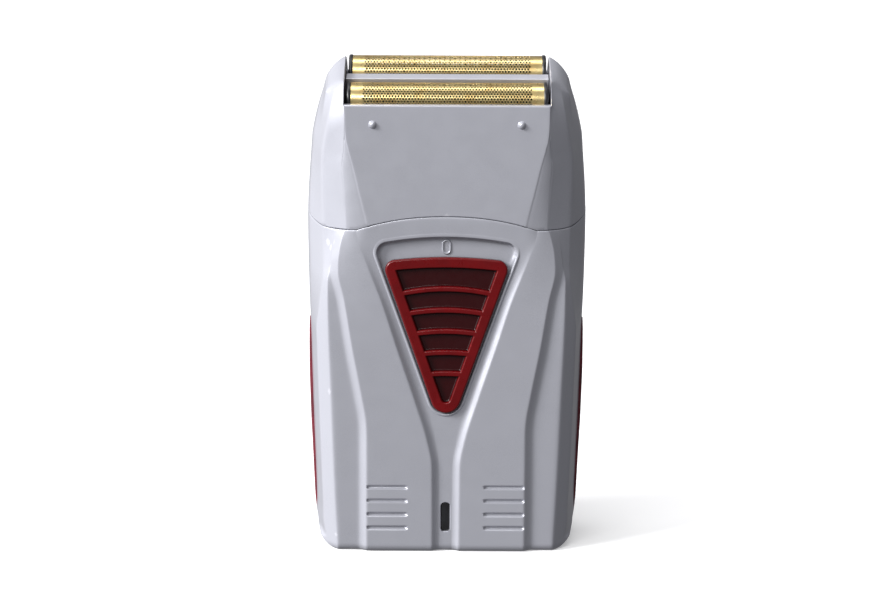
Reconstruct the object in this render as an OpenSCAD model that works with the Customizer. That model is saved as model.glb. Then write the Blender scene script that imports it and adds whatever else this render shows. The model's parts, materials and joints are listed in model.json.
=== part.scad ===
/* [Casing] */
// Half width of the casing at its widest, by the head seam
half_w = 32.1; // [31.6:0.1:32.6]
// Distance from the middle plane to the flat front of the casing
front_y = 15.4; // [15.2:0.1:15.6]
// Distance from the middle plane to the rounded back
back_y = 16.2; // [16:0.1:16.6]
// Wall thickness of the two casing shells
wall = 2.2; // [2:0.1:2.4]
// Radius of the bottom corners seen from the front
corner_r = 6; // [5:0.5:7]
// Radius of the bottom edges seen from the side
edge_r = 3; // [2:0.5:4]
// Depth of the channel that runs down the middle of the front
channel_d = 1.2; // [0.8:0.1:1.4]

/* [Seam] */
// Height of the head seam in the middle of the front
seam_mid_z = 77.5; // [77:0.1:78]
// Height of the head seam at the corners of the front
seam_corner_z = 74.4; // [74:0.1:75]
// Height of the head seam at the back
seam_back_z = 94; // [93.5:0.1:94.5]
// Gap between the head and the casing
seam_gap = 0.3; // [0.25:0.05:0.4]

/* [Head] */
// Angle that the shaving head leans towards the front
slant = 28; // [27:0.5:29]
// Distance between the centre lines of the two foils
foil_pitch = 12; // [11.9:0.1:12.1]
// Outer radius of a foil's arch
foil_r = 4.1; // [4:0.05:4.15]
// Half length of a foil
foil_half = 21.6; // [21.4:0.1:21.8]
// Height that a foil stands above the rim
foil_rise = 2.3; // [2.1:0.1:2.5]

/* [Drive] */
// Throw of the crank pin, half the stroke of the cutters
throw = 0.9; // [0.7:0.1:0.9]
// Number of blades in one cutter
blades = 32; // [24:2:36]
// Distance of the motor's axis behind the middle plane
motor_y = 3; // [2.8:0.1:3.2]
// Radius of the motor can
motor_r = 10.1; // [9.8:0.1:10.2]
// Height of the top of the motor can
motor_top = 79; // [78.8:0.1:79.1]
// Diameter of the battery cell
cell_d = 17; // [16:0.5:17]
// Length of the battery cell
cell_len = 43; // [42:0.5:43]

/* [Switch] */
// Height of the round lower tip of the switch recess
recess_tip_z = 32.5; // [32.3:0.1:32.7]
// Height of the top of the switch recess
recess_top_z = 73; // [72.8:0.1:73.1]
// Travel of the power slider
switch_travel = 4; // [3.5:0.1:4]

/* [Charging] */
// Radius of the charging socket
socket_r = 1.8; // [1.75:0.05:1.85]
// Depth of the charging socket
socket_len = 9; // [8:0.5:9]

/* [Hidden] */
$fn = 48;
eps = 0.01;
big = 200;

// The head's own axes: u along the foils, v from the front foil to the rear one, w out of the foils
head_y = -4.7;
head_z = 107.5;
half_pitch = foil_pitch / 2;
arch_w = foil_rise - foil_r;
foil_t = 0.2;
blade_r = foil_r - foil_t - 0.18;
rim_v = half_pitch + foil_r + 0.35;
opening_half = 22.8;
holder_top_w = -5.2;
holder_bottom_w = -8;
shelf_w = -13;
shelf_t = 1.6;
deck_w = -19.5;
deck_t = 1.6;
neck_back_v = 7.5;
plate_w = -13.2;
plate_t = 1.5;
carrier_bottom_w = -7.6;
carrier_top_w = -4.6;
post_r = 1.2;

silver = [0.69, 0.7, 0.73];
red = [0.48, 0.05, 0.07];
wine = [0.4, 0.06, 0.13];
gold = [0.84, 0.66, 0.3];
black = [0.06, 0.06, 0.07];
steel = [0.75, 0.76, 0.78];
white = [0.9, 0.9, 0.88];

// Points of an arc about [cx, cy]
function arc(cx, cy, r, from, to, steps) =
    [for (i = [0 : steps]) let (a = from + (to - from) * i / steps) [cx + r * cos(a), cy + r * sin(a)]];

// The points of one side, followed by their mirror image
function both_sides(points) =
    concat(points, [for (i = [len(points) - 1 : -1 : 0]) [-points[i][0], points[i][1]]]);

// The seam drops from the middle of the front to its corners, turns up at the sides and then sweeps
// up to the back
seam_corner_x = 20.4;
seam_side_z = seam_corner_z + 2.9;
seam_sweep = 17;

// Height of the seam at distance x from the middle, across the front
function seam_front(x) = let (a = abs(x))
    a < seam_corner_x ? seam_mid_z - (seam_mid_z - seam_corner_z) * pow(a / seam_corner_x, 2.2)
    : let (t = min(1, (a - seam_corner_x) / (half_w - seam_corner_x)))
        seam_corner_z + (seam_side_z - seam_corner_z) * pow(t, 4.5);

// Height of the seam at depth y, round the sides and the back
function seam_side(y) = let (t = min(1, max(0, (y - side_y) / seam_sweep)))
    seam_side_z + (seam_back_z - seam_side_z) * (1 - cos(180 * t)) / 2;

// Outline of the casing seen from above, drawn in by inset: a flat front with a shallow and a steep
// facet on each side, and a superellipse for the back
flat_x = 18.2;
facet_x = 27.4;
facet_d = 1.4;
side_y = -3;
round_y = 5;
module plan(inset) {
    steps = 12;
    back = [for (i = [0 : steps]) let (a = 90 * i / steps)
        [(half_w - inset) * pow(cos(a), 0.7), round_y + (back_y - round_y - inset) * pow(sin(a), 0.8)]];
    polygon(both_sides(concat([
        [flat_x - inset * 0.1, inset - front_y],
        [facet_x - inset * 0.5, inset * 0.9 - front_y + facet_d],
        [half_w - 0.8 - inset, side_y]
    ], back)));
}

// Outline of the casing and head seen from the front, drawn in by inset
module silhouette(inset) {
    polygon(both_sides(concat(
        arc(half_w - 1.4 - corner_r, corner_r, corner_r - inset, -90, 0, 8), [
        [half_w - 1 - inset, 33],
        [half_w - 0.3 - inset, 56.3],
        [half_w - inset, 76.2],
        [half_w - 0.8 - inset, 91.3],
        [half_w - 1.3 - inset, 97],
        [half_w - 2.6 - inset, 102.7],
        [half_w - 4.5 - inset, 108.2],
        [opening_half + 0.6, 112],
        [opening_half, 112.1]
    ])));
}

// Outline of the casing seen from the side, with round bottom edges; x of the polygon is depth
module side_profile(inset, top) {
    r = edge_r - inset;
    f = edge_r - front_y;
    b = back_y - edge_r;
    polygon(concat(
        arc(f, edge_r, r, 180, 270, 6),
        arc(b, edge_r, r, 270, 360, 6),
        [[back_y - inset, top], [inset - front_y, top]]
    ));
}

// Stands an outline drawn in x and z upright, and stretches it through the whole depth
module through_depth() translate([0, big / 2, 0]) rotate([90, 0, 0]) linear_extrude(big) children();

// Stands an outline drawn in y and z upright, and stretches it through the whole width
module through_width(w = big) translate([-w / 2, 0, 0]) rotate([90, 0, 90]) linear_extrude(w) children();

// Moves children from the head's axes into place
module on_head() translate([0, head_y, head_z]) rotate([slant, 0, 0]) children();

// Everything behind the plane at v, or below the plane at w, in the head's axes
module below_w(w) on_head() translate([-big / 2, -big / 2, w - big]) cube(big);
module before_v(v) on_head() translate([-big / 2, v - big, -big / 2]) cube(big);
module box_uvw(u0, u1, v0, v1, w0, w1) on_head() translate([u0, v0, w0]) cube([u1 - u0, v1 - v0, w1 - w0]);

// Solid casing without its head, drawn in by inset
module casing_solid(inset) {
    intersection() {
        linear_extrude(120) plan(inset);
        through_depth() silhouette(inset);
        through_width() side_profile(inset, 120);
    }
}

// Everything below the seam, raised by lift
module below_seam(lift) {
    steps = 24;
    front = [for (i = [-steps : steps]) let (x = half_w * 1.05 * i / steps) [x, seam_front(x) + lift]];
    side = [for (i = [0 : steps]) let (y = side_y + seam_sweep * i / steps) [y, seam_side(y) + lift]];
    intersection() {
        through_depth() polygon(concat([[-half_w * 1.05, -5]], front, [[half_w * 1.05, -5]]));
        translate([-50, side_y - 50, -10]) cube([100, 50, 120]);
    }
    through_width(100) polygon(concat([[side_y, -5]], side, [[30, seam_back_z + lift], [30, -5]]));
}

// Round bar along the depth, from y0 to y1
module along_depth(r, y0, y1) rotate([-90, 0, 0]) translate([0, 0, y0]) cylinder(r = r, h = y1 - y0);
// Places of the case screws in x and z, each in a boss of boss_r
ear_x = 24.5;
ear_z = 66;
screw_places = [[-20, 12], [20, 12], [-ear_x, ear_z], [ear_x, ear_z]];
boss_r = 3;
thread_r = 1.1;
screw_head_r = 2.2;
screw_head_y = 9;
// Thickness of the neck's two ears, which the upper pair of screws clamps between the shells
ear_t = 1.8;

// Does its children at each case screw
module at_screws() for (p = screw_places) translate([p[0], 0, p[1]]) children();

// Space that the neck's ears take up between the bosses of the upper screws
module ear_gaps() for (s = [-1, 1]) translate([s * ear_x, 0, ear_z]) along_depth(4, -ear_t / 2, ear_t / 2);

// Outline of the switch recess: two corners at the top and a round tip, drawn in by inset
module switch_outline(tip_r, tip_z, side_x, side_z, corner, top_z, crown) {
    lean = atan2(side_x - tip_r, side_z - tip_z);
    polygon(both_sides(concat(
        arc(0, tip_z + tip_r, tip_r, -90, -lean, 6),
        arc(side_x - corner, side_z, corner, -lean, 75, 5),
        [[side_x * 0.45, top_z - crown * 0.2], [0, top_z]]
    )));
}
module recess_outline() switch_outline(3.6, recess_tip_z, 15.7, 69.4, 2.4, recess_top_z, 0.5);
module slider_outline(in = 0)
    switch_outline(3.3 - in, recess_tip_z + 0.35 + in, 13.5 - in, 65.4, 2.2 - in * 0.5, 68.3 - in, 0.5);

// Outline of the long channel on the front, which opens into a wide collar round the switch
module channel_outline() {
    polygon(both_sides([
        [2.8, -1], [2.8, 20], [3.7, 26.4], [6.4, 35.7], [10.4, 47.3], [14.2, 58.8], [18, 68], [19.2, 71],
        [17.5, 73.4]
    ]));
}

// Outline of the sunk strip beside each raised leg of the front
module flank_outline() {
    polygon([[18.1, -1], [18.1, 27], [18.4, 31], [21.3, 47.3], [24.5, 64.7], [40, 68], [40, -1]]);
}

// One closed tube of radius r swept along points; ref is a direction that the path never follows
module sweep(points, r, sides, ref) {
    n = len(points);
    function unit(a) = a / norm(a);
    function ring(i) = let (
        t = unit(points[min(n - 1, i + 1)] - points[max(0, i - 1)]),
        a = unit(cross(t, ref)),
        b = cross(t, a))
        [for (k = [0 : sides - 1]) points[i] + r * (a * cos(360 * k / sides) + b * sin(360 * k / sides))];
    skin = [for (i = [0 : n - 2], k = [0 : sides - 1]) let (m = (k + 1) % sides, a = i * sides)
        each [[a + k, a + m, a + sides + m], [a + k, a + sides + m, a + sides + k]]];
    ends = [[for (k = [sides - 1 : -1 : 0]) k], [for (k = [0 : sides - 1]) (n - 1) * sides + k]];
    polyhedron([for (i = [0 : n - 1]) each ring(i)], concat(skin, ends));
}

// Coil spring standing on w0 in the head's axes
module coil_spring(u, v, w0, w1, coil_r, wire_r, turns) {
    steps = 12 * turns;
    rise = (w1 - w0 - 2 * wire_r) / steps;
    on_head() sweep([for (i = [0 : steps])
        [u + coil_r * cos(30 * i), v + coil_r * sin(30 * i), w0 + wire_r + rise * i]],
        wire_r, 6, [0, 0, 1]);
}

// ---- Casing ----

module front_shell() {
    color(silver) {
        difference() {
            intersection() {
                casing_solid(0);
                below_seam(0);
                translate([-50, -50, -1]) cube([100, 50, 120]);
            }
            difference() {
                casing_solid(wall);
                at_screws() along_depth(boss_r, -20, 1);
            }
            at_screws() along_depth(thread_r, -11, 1);
            ear_gaps();
            translate([0, -front_y - 10 + channel_d, 0]) front_cut(10) channel_outline();
            for (s = [0, 1]) mirror([s, 0, 0])
                translate([0, -front_y - 10 + channel_d, 0]) front_cut(10) flank_outline();
            translate([0, -front_y - 10, 0]) front_cut(20) recess_outline();
            translate([0, -front_y - 10, 0]) front_cut(20) led_window();
            for (s = [-1, 1], i = [0 : 3])
                translate([s * vent_x, -front_y - 1, vent_z + vent_pitch * i])
                    cube_xz(vent_w, 1 + vent_d, vent_h);
        }
    }
}

// Cuts an outline drawn in x and z to a depth of d, starting from the front
module front_cut(d) translate([0, d, 0]) rotate([90, 0, 0]) linear_extrude(d) children();

// Block centred on x and z, with its front at y = 0
module cube_xz(wx, dy, hz) translate([-wx / 2, 0, -hz / 2]) cube([wx, dy, hz]);

// Four shallow grooves on each leg of the front
vent_x = 13.4;
vent_z = 5.8;
vent_pitch = 3.17;
vent_w = 9.4;
vent_h = 1;
vent_d = 0.5;

led_z = 8.3;
led_r = 0.95;
led_straight = 4.7;
module led_window() translate([0, led_z]) oval(led_r, led_straight / 2);

grip_cut_x = 30;
grip_y = 0.5;
grip_z = 9;
grip_len = 45;
grip_d = 8;
// Lens-shaped outline of a side grip, drawn in by in; x of the polygon is depth
module grip_outline(in) {
    steps = 10;
    len_in = grip_len - 2 * in;
    d_in = grip_d - 2 * in;
    polygon(concat(
        [[grip_y + in, grip_z + in], [grip_y + in, grip_z + in + len_in]],
        [for (i = [steps : -1 : 0]) let (t = i / steps)
            [grip_y + in + max(0.4, d_in * pow(sin(180 * t), 0.6)), grip_z + in + len_in * t]]
    ));
}

module back_shell() {
    color(silver) {
        difference() {
            intersection() {
                casing_solid(0);
                below_seam(0);
                translate([-50, 0, -1]) cube([100, 50, 120]);
            }
            difference() {
                casing_solid(wall);
                at_screws() along_depth(boss_r + 0.2, -1, 20);
            }
            at_screws() {
                along_depth(thread_r + 0.3, -1, 20);
                along_depth(screw_head_r + 0.3, screw_head_y, 20);
            }
            ear_gaps();
            for (s = [0, 1]) mirror([s, 0, 0]) intersection() {
                through_width() grip_outline(0);
                translate([grip_cut_x, 0, 0]) cube(100);
            }
            translate([0, cell_y, -1]) cylinder(r = inlet_r + 0.1, h = wall + 2);
        }
    }
}

module grip() {
    color(wine) intersection() {
        linear_extrude(120) plan(0);
        through_width() grip_outline(0.1);
        through_depth() polygon([
            [grip_cut_x, 0], [half_w - 1.4, 8.4], [half_w - 0.6, 21], [half_w - 0.2, 33],
            [half_w - 0.1, 42.4], [half_w - 0.2, 56], [grip_cut_x, 56]
        ]);
    }
}
module left_grip() mirror([1, 0, 0]) grip();
module right_grip() grip();

// Cord of rubber between the two shells, along the parting plane
module case_seal() {
    color(black) difference() {
        intersection() {
            casing_solid(wall + eps);
            translate([-50, -0.5, -1]) cube([100, 1, 70]);
        }
        casing_solid(wall + 0.8);
        translate([-50, -10, 60]) cube([100, 20, 20]);
        at_screws() along_depth(boss_r + 0.3, -2, 2);
        translate([0, cell_y, 0]) cylinder(r = inlet_flange_r + 0.2, h = 5);
    }
}

module case_screws() {
    head_t = 1.8;
    slot_d = 0.6;
    slot_half = 1.4;
    color(steel) at_screws() difference() {
        union() {
            along_depth(thread_r - 0.1, -8, screw_head_y + eps);
            along_depth(screw_head_r, screw_head_y, screw_head_y + head_t);
        }
        for (a = [0, 90]) rotate([0, a, 0])
            translate([-slot_half, screw_head_y + head_t - slot_d, -0.25]) cube([2 * slot_half, 1, 0.5]);
    }
}

// ---- Switch ----

plate_front = channel_d + 0.5 - front_y;
plate_depth = 1;
slider_back = plate_front - 0.3;
slider_t = 1.7;
zero_z = 70.6;
zero_t = 0.25;

module switch_plate() {
    color(silver) {
        difference() {
            translate([0, plate_front, 0]) front_cut(plate_depth) recess_outline();
            translate([0, plate_front - 1, switch_z]) cube_xz(stem_w + 0.6, 3, stem_h + 1 + switch_travel);
        }
        // A raised oval ring marks the off position
        translate([0, plate_front - zero_t, zero_z]) rotate([-90, 0, 0]) zero_ring();
    }
}

module zero_ring() {
    difference() {
        linear_extrude(zero_t + eps) oval(1.1, 0.55);
        translate([0, 0, -1]) linear_extrude(3) oval(0.6, 0.55);
    }
}
module oval(r, straight) {
    translate([0, straight]) circle(r = r);
    translate([0, -straight]) circle(r = r);
    translate([-r, -straight]) square([2 * r, 2 * straight]);
}

rib_top_z = 61.2;
rib_pitch = 4.85;
rib_h = 0.9;
border_w = 2.3;
stem_w = 3.2;
stem_h = 7;

module power_slider() {
    color(red) difference() {
        translate([0, slider_back - slider_t, 0]) front_cut(slider_t) slider_outline();
        difference() {
            translate([0, slider_back - slider_t - 1, 0]) front_cut(2) slider_outline(border_w);
            for (i = [0 : 4]) translate([0, slider_back - slider_t + 0.2, rib_top_z - rib_pitch * i])
                cube_xz(2 * half_w, 3, rib_h);
        }
    }
}

module slider_carrier() {
    foot_y = plate_front + plate_depth + 0.3;
    color(black) {
        translate([0, slider_back, knob_z]) cube_xz(stem_w, foot_y - slider_back, stem_h);
        difference() {
            translate([0, foot_y, knob_z]) cube_xz(9, 1.3, 12);
            translate([0, foot_y - 0.3, knob_z]) cube_xz(2.3, 3, 2.7);
        }
    }
}

board_y = -7.6;
board_t = 1.6;
board_x = 13;
board_z0 = 7.5;
board_z1 = 62;
knob_z = 53.7;
switch_z = knob_z + switch_travel / 2;

module slide_switch_body() {
    color(steel) difference() {
        translate([0, board_y - 2.6, switch_z]) cube_xz(8, 2.6, 11.2);
        translate([0, board_y - 2.2, switch_z]) cube_xz(4.2, 1.8, switch_travel + 2.8);
        translate([0, board_y - 3, switch_z]) cube_xz(2.4, 2, switch_travel + 2.8);
    }
}

module slide_switch_knob() {
    color(black) {
        translate([0, board_y - 2, knob_z]) cube_xz(3.6, 1.4, 2);
        translate([0, plate_front + 1.5, knob_z]) cube_xz(1.8, board_y - 2 - plate_front - 1.5, 2);
    }
}

// ---- Electronics ----

module circuit_board() {
    color([0.05, 0.3, 0.12]) translate([0, board_y, (board_z0 + board_z1) / 2])
        cube_xz(2 * board_x, board_t, board_z1 - board_z0);
}
module led_chip() {
    color(white) translate([0, board_y - 1, led_z]) cube_xz(1.6, 1, 3);
}
module led_lens() {
    color([0.1, 0.1, 0.12]) {
        translate([0, channel_d + 0.2 - front_y, 0]) front_cut(front_y - channel_d - 9) led_window();
        translate([0, wall - front_y, led_z]) cube_xz(3.4, 1, 8.4);
    }
}

cell_y = 4.6;
cell_z0 = 11.2;
cell_z1 = cell_z0 + cell_len - 0.4;
module battery_cell() {
    color([0.2, 0.35, 0.6]) translate([0, cell_y, 0]) {
        translate([0, 0, cell_z0]) cylinder(r = cell_d / 2, h = cell_len - 1);
        translate([0, 0, cell_z1 - 0.6 - eps]) cylinder(r = 3, h = 0.6 + eps);
    }
}
module battery_tabs() {
    color(steel) {
        translate([-2, board_y + board_t, cell_z0 - 0.3]) cube([4, cell_y + 2 - board_y - board_t, 0.3]);
        translate([-2, board_y + board_t, cell_z1]) cube([4, cell_y + 2 - board_y - board_t, 0.3]);
    }
}

// Two insulated wires, each the mirror image of the other, along points on the right-hand side
module wire_pair(points, r, ref) {
    color([0.7, 0.1, 0.1]) sweep(points, r, 8, ref);
    color(black) mirror([1, 0, 0]) sweep(points, r, 8, ref);
}
board_back = board_y + board_t;
module charge_leads() wire_pair([[6, board_back, 14], [6, board_back + 0.8, 14], [6.6, -4.4, 13],
    [8.5, -3.6, 11], [8.5, 0, 8.5], [7.5, 3, 7.5], [5.5, cell_y, 7.5], [contact_x, cell_y, 7.5]],
    0.5, [0, 0.1, 1]);

// ---- Motor ----

motor_len = 23.5;
motor_z0 = motor_top - motor_len;
motor_flat = 7.7;
can_wall = 0.8;
end_cap_t = 2;
motor_boss_r = 3;
shaft_r = 1;
motor_screw_x = 6.5;
bracket_screw_x = 15;

// Cylinder with two flats, as the motor's can is
module motor_block(z0, h, r, flat) {
    translate([0, motor_y, z0]) intersection() {
        cylinder(r = r, h = h, $fn = 64);
        translate([-20, -flat, -1]) cube([40, 2 * flat, h + 2]);
    }
}
module motor_can() {
    color(steel) difference() {
        union() {
            motor_block(motor_z0 + end_cap_t, motor_len - end_cap_t, motor_r, motor_flat);
            translate([0, motor_y, motor_top - eps]) cylinder(r = motor_boss_r, h = 1);
        }
        motor_block(motor_z0 + 1, motor_len - 1 - can_wall, motor_r - can_wall, motor_flat - can_wall);
        translate([0, motor_y, motor_top - 2]) cylinder(r = shaft_r + 0.05, h = 5);
        for (s = [-1, 1]) translate([s * motor_screw_x, motor_y, motor_top - 1.5]) cylinder(r = 0.8, h = 3);
    }
}
module motor_end_cap() {
    color(black) difference() {
        motor_block(motor_z0, end_cap_t, motor_r, motor_flat);
        translate([0, motor_y, motor_z0 - 1]) cylinder(r = shaft_r + 0.05, h = 5);
    }
}
module motor_leads() wire_pair([[9, board_back, 50], [9, board_back + 0.8, 50], [10.5, -4, 50.5],
    [12.5, -2, 51.5], [12, 1, 53], [9, 3, 53.5], [6.6, motor_y, 54], [6, motor_y, 54.7],
    [6, motor_y, motor_z0]], 0.4, [0.3, 1, 0.2]);

bracket_t = 1.6;
bracket_top = motor_top + bracket_t;
module motor_bracket() {
    color(steel) difference() {
        translate([-19, -5, motor_top]) cube([38, 14.5, bracket_t]);
        translate([0, motor_y, motor_top - 1]) cylinder(r = motor_boss_r + 0.1, h = 4);
        for (s = [-1, 1]) {
            translate([s * motor_screw_x, motor_y, motor_top - 1]) cylinder(r = 0.9, h = 4);
            translate([s * bracket_screw_x, motor_y, motor_top - 1]) cylinder(r = 1.1, h = 4);
        }
    }
}
module motor_screws() {
    color(steel) for (s = [-1, 1]) translate([s * motor_screw_x, motor_y, 0]) {
        translate([0, 0, motor_top - 1.3]) cylinder(r = 0.7, h = bracket_t + 1.4);
        translate([0, 0, bracket_top]) cylinder(r = 1.5, h = 0.9);
    }
}
module bracket_screws() {
    color(steel) for (s = [-1, 1]) translate([s * bracket_screw_x, motor_y, 0]) {
        translate([0, 0, motor_top - 0.1]) cylinder(r = 0.8, h = 6);
        translate([0, 0, motor_top - 1.2]) cylinder(r = 1.9, h = 1.2);
    }
}
disc_z = bracket_top + 0.7;
disc_t = 2.5;
winding_h = 14;
module motor_shaft() {
    color(steel) translate([0, motor_y, motor_z0 - 1]) cylinder(r = shaft_r, h = disc_z + 3 - motor_z0);
    color([0.6, 0.4, 0.2]) difference() {
        translate([0, motor_y, motor_z0 + 4]) cylinder(r = 5.8, h = winding_h);
        translate([0, motor_y, motor_z0 + 3]) cylinder(r = shaft_r, h = winding_h + 2);
    }
}
module eccentric() {
    color(white) translate([0, motor_y, 0]) difference() {
        union() {
            translate([0, 0, disc_z]) cylinder(r = 3.6, h = disc_t);
            translate([throw, 0, disc_z + 2]) cylinder(r = pin_r, h = pin_top - disc_z - 2);
        }
        translate([0, 0, disc_z - 1]) cylinder(r = shaft_r, h = 3);
    }
}

// ---- Neck and drive ----

neck_z = 72;
seal_t = 0.8;
// Solid of the neck, drawn in by inset from its outer faces
module neck_solid(inset) {
    intersection() {
        translate([0, 0, 60]) linear_extrude(50) plan(wall + seal_t + inset);
        through_depth() silhouette(wall + seal_t + inset);
        below_w(deck_w - inset);
        before_v(neck_back_v - inset);
        translate([-50, -50, neck_z]) cube([100, 50 + back_y - wall - 0.3 - inset, 50]);
    }
}
module neck_deck() {
    color(black) difference() {
        union() {
            difference() {
                neck_solid(0);
                neck_solid(deck_t);
                translate([-50, -50, 60]) cube([100, 100, neck_z + eps - 60]);
            }
            intersection() {
                neck_solid(0.5);
                for (s = [-1, 1]) translate([s * bracket_screw_x, motor_y, bracket_top])
                    cylinder(r = 2.6, h = 20);
            }
            for (s = [0, 1]) mirror([s, 0, 0])
                translate([ear_x - boss_r, -ear_t / 2, ear_z - 2.5]) cube([7, ear_t, 12]);
        }
        for (s = [-1, 1]) {
            translate([s * bracket_screw_x, motor_y, bracket_top - 1]) cylinder(r = 0.8, h = 6.5);
            translate([s * ear_x, 0, ear_z]) along_depth(thread_r + 0.1, -2, 2);
        }
        translate([0, motor_y, 80]) cylinder(r = 3, h = 20);
    }
}
module neck_seal() {
    color([0.15, 0.15, 0.15]) difference() {
        translate([0, 0, recess_top_z + 0.2]) linear_extrude(1.2) plan(wall);
        translate([0, 0, neck_z]) linear_extrude(4) plan(wall + seal_t);
    }
}

flexure_x = 16.5;
flexure_t = 0.5;
flexure_v = 6;
foot_u = 2.2;
foot_t = 0.8;
pin_r = 1;
pin_top = 97.6;
// Half sizes of the pocket that the crank pin runs in
pocket_u = pin_r + 2 * throw + 0.3;
pocket_v = pin_r + throw + 0.3;
pocket_top = pin_top + 1.9;
bridge_u = 17;
bridge_v = 8;
module drive_flexures() {
    color([0.85, 0.83, 0.78]) for (s = [-1, 1]) {
        box_uvw(s * flexure_x - flexure_t / 2, s * flexure_x + flexure_t / 2,
            -flexure_v, flexure_v, deck_w, plate_w);
        box_uvw(s * (flexure_x - foot_u) - foot_u, s * (flexure_x - foot_u) + foot_u,
            -flexure_v, flexure_v, deck_w, deck_w + foot_t);
    }
}
module flexure_screws() {
    color(steel) for (s = [-1, 1], v = [-4, 4]) on_head()
        translate([s * (flexure_x - foot_u - 0.4), v, deck_w + foot_t]) cylinder(r = 1.2, h = 0.8);
}
module drive_bridge() {
    color(white) difference() {
        union() {
            box_uvw(-bridge_u, bridge_u, -bridge_v, bridge_v, plate_w, plate_w + plate_t);
            box_uvw(-5, 5, -2, 6, plate_w - 3, plate_w + eps);
            for (s = [-1, 1]) on_head() translate([0, s * half_pitch, plate_w + plate_t - eps])
                cylinder(r = post_r, h = 5.6);
        }
        translate([-pocket_u, motor_y - pocket_v, disc_z])
            cube([2 * pocket_u, 2 * pocket_v, pocket_top - disc_z]);
    }
}

// ---- Cutters ----

cutter_half = 18.2;
module cutter_carrier(v) {
    color(black) on_head() difference() {
        translate([-cutter_half, v - 3, carrier_bottom_w])
            cube([2 * cutter_half, 6, carrier_top_w - carrier_bottom_w]);
        translate([0, v, carrier_bottom_w - 1]) cylinder(r = post_r + 0.06, h = 6);
    }
}
module cutter_blades(v) {
    blade_t = 0.35;
    hollow_r = 2.3;
    pitch = (2 * cutter_half - blade_t) / (blades - 1);
    color(steel) on_head() for (i = [0 : blades - 1])
        translate([-cutter_half + pitch * i, v, arch_w]) rotate([0, 90, 0]) linear_extrude(blade_t)
            difference() {
                union() {
                    circle(r = blade_r, $fn = 64);
                    translate([0, -blade_r]) square([arch_w - carrier_top_w, 2 * blade_r]);
                }
                circle(r = hollow_r);
                translate([0, -hollow_r]) square([20, 2 * hollow_r]);
                translate([arch_w - carrier_top_w, -10]) square(20);
            }
}
module cutter_spring(v) {
    color(steel) coil_spring(0, v, plate_w + plate_t, carrier_bottom_w, 1.9, 0.2, 4);
}
module cutter_carrier_front() cutter_carrier(-half_pitch);
module cutter_carrier_rear() cutter_carrier(half_pitch);
module cutter_blades_front() cutter_blades(-half_pitch);
module cutter_blades_rear() cutter_blades(half_pitch);
module cutter_spring_front() cutter_spring(-half_pitch);
module cutter_spring_rear() cutter_spring(half_pitch);

// ---- Head ----

rear_rim_w = -4.6;
shelf_half = 19.6;
room_v = 10.1;
bar_v = 1.2;
bar_t = 3.4;
bar_top_w = 1;
nub_x = 16.6;
nub_z = 98.1;
nub_r = 0.8;

// Outline of the head seen from the side: cheeks as high as the foils, then down the back
module head_profile() {
    polygon([
        [-front_y, 60], [-front_y, 101], [-front_y + 0.6, 103], [-11, 106.9], [-0.5, 112], [3, 111.9],
        [10.2, 108.4], [14, 100], [back_y - 0.4, 94], [back_y, 90], [back_y, 60]
    ]);
}
module head_frame() {
    color(silver) {
        difference() {
            intersection() {
                linear_extrude(120) plan(0);
                through_depth() silhouette(0);
                through_width() head_profile();
            }
            below_seam(seam_gap);
            head_room();
            box_uvw(-opening_half, opening_half, -20, 20, 0, 30);
            box_uvw(-opening_half, opening_half, rim_v, 20, rear_rim_w, 30);
            box_uvw(-opening_half, opening_half, -rim_v, rim_v, holder_top_w - 0.8, 30);
            box_uvw(-opening_half, opening_half, -rim_v - 0.6, rim_v + 0.6, shelf_w, holder_top_w + 0.3);
            box_uvw(-shelf_half, shelf_half, -10.4, room_v, shelf_w - shelf_t - 1, shelf_w + 1);
        }
        box_uvw(-opening_half - eps, opening_half + eps, -bar_v, bar_v, bar_top_w - bar_t, bar_top_w);
        for (s = [-1, 1]) translate([s * nub_x, -front_y, nub_z]) sphere(r = nub_r, $fn = 32);
    }
}

// Room inside the head for the neck and the cutters, open along the head's own w axis
module head_room() {
    intersection() {
        translate([0, 0, 60]) linear_extrude(60) plan(wall + 0.3);
        through_depth() silhouette(wall + 0.3);
        below_w(shelf_w - shelf_t);
        before_v(room_v);
    }
    box_uvw(-shelf_half, shelf_half, 0, room_v, shelf_w - 20, shelf_w - shelf_t);
}

module foil_holder(v) {
    cap_t = 0.9;
    boss_t = 1.1;
    rail_t = 0.6;
    color(black) on_head() for (s = [0, 1]) mirror([s, 0, 0]) {
        translate([foil_half, v, arch_w]) rotate([0, 90, 0]) linear_extrude(cap_t) {
            circle(r = foil_r + 0.05, $fn = 64);
            translate([0, -foil_r - 0.05]) square([arch_w - holder_bottom_w, 2 * foil_r + 0.1]);
        }
        translate([foil_half - boss_t, v, arch_w]) rotate([0, 90, 0]) linear_extrude(boss_t) {
            circle(r = foil_r - foil_t, $fn = 64);
            translate([0, foil_t - foil_r]) square([arch_w - holder_bottom_w, 2 * (foil_r - foil_t)]);
        }
    }
    color(black) on_head() for (s = [-1, 1])
        translate([-foil_half, v + (s > 0 ? foil_r : -foil_r - rail_t), holder_bottom_w])
            cube([2 * foil_half, rail_t, holder_top_w - holder_bottom_w]);
}
module foil(v) {
    skirt = 5.6;
    color(gold) on_head() translate([-foil_half, v, arch_w]) rotate([0, 90, 0])
        linear_extrude(2 * foil_half) difference() {
            union() {
                circle(r = foil_r, $fn = 96);
                translate([0, -foil_r]) square([skirt, 2 * foil_r]);
            }
            circle(r = foil_r - foil_t, $fn = 96);
            translate([0, foil_t - foil_r]) square([20, 2 * (foil_r - foil_t)]);
        }
}
module foil_springs(v) {
    color(steel) for (s = [-1, 1]) coil_spring(s * 21.3, v, shelf_w, holder_bottom_w, 0.95, 0.15, 5);
}
module foil_holder_front() foil_holder(-half_pitch);
module foil_holder_rear() foil_holder(half_pitch);
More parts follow.
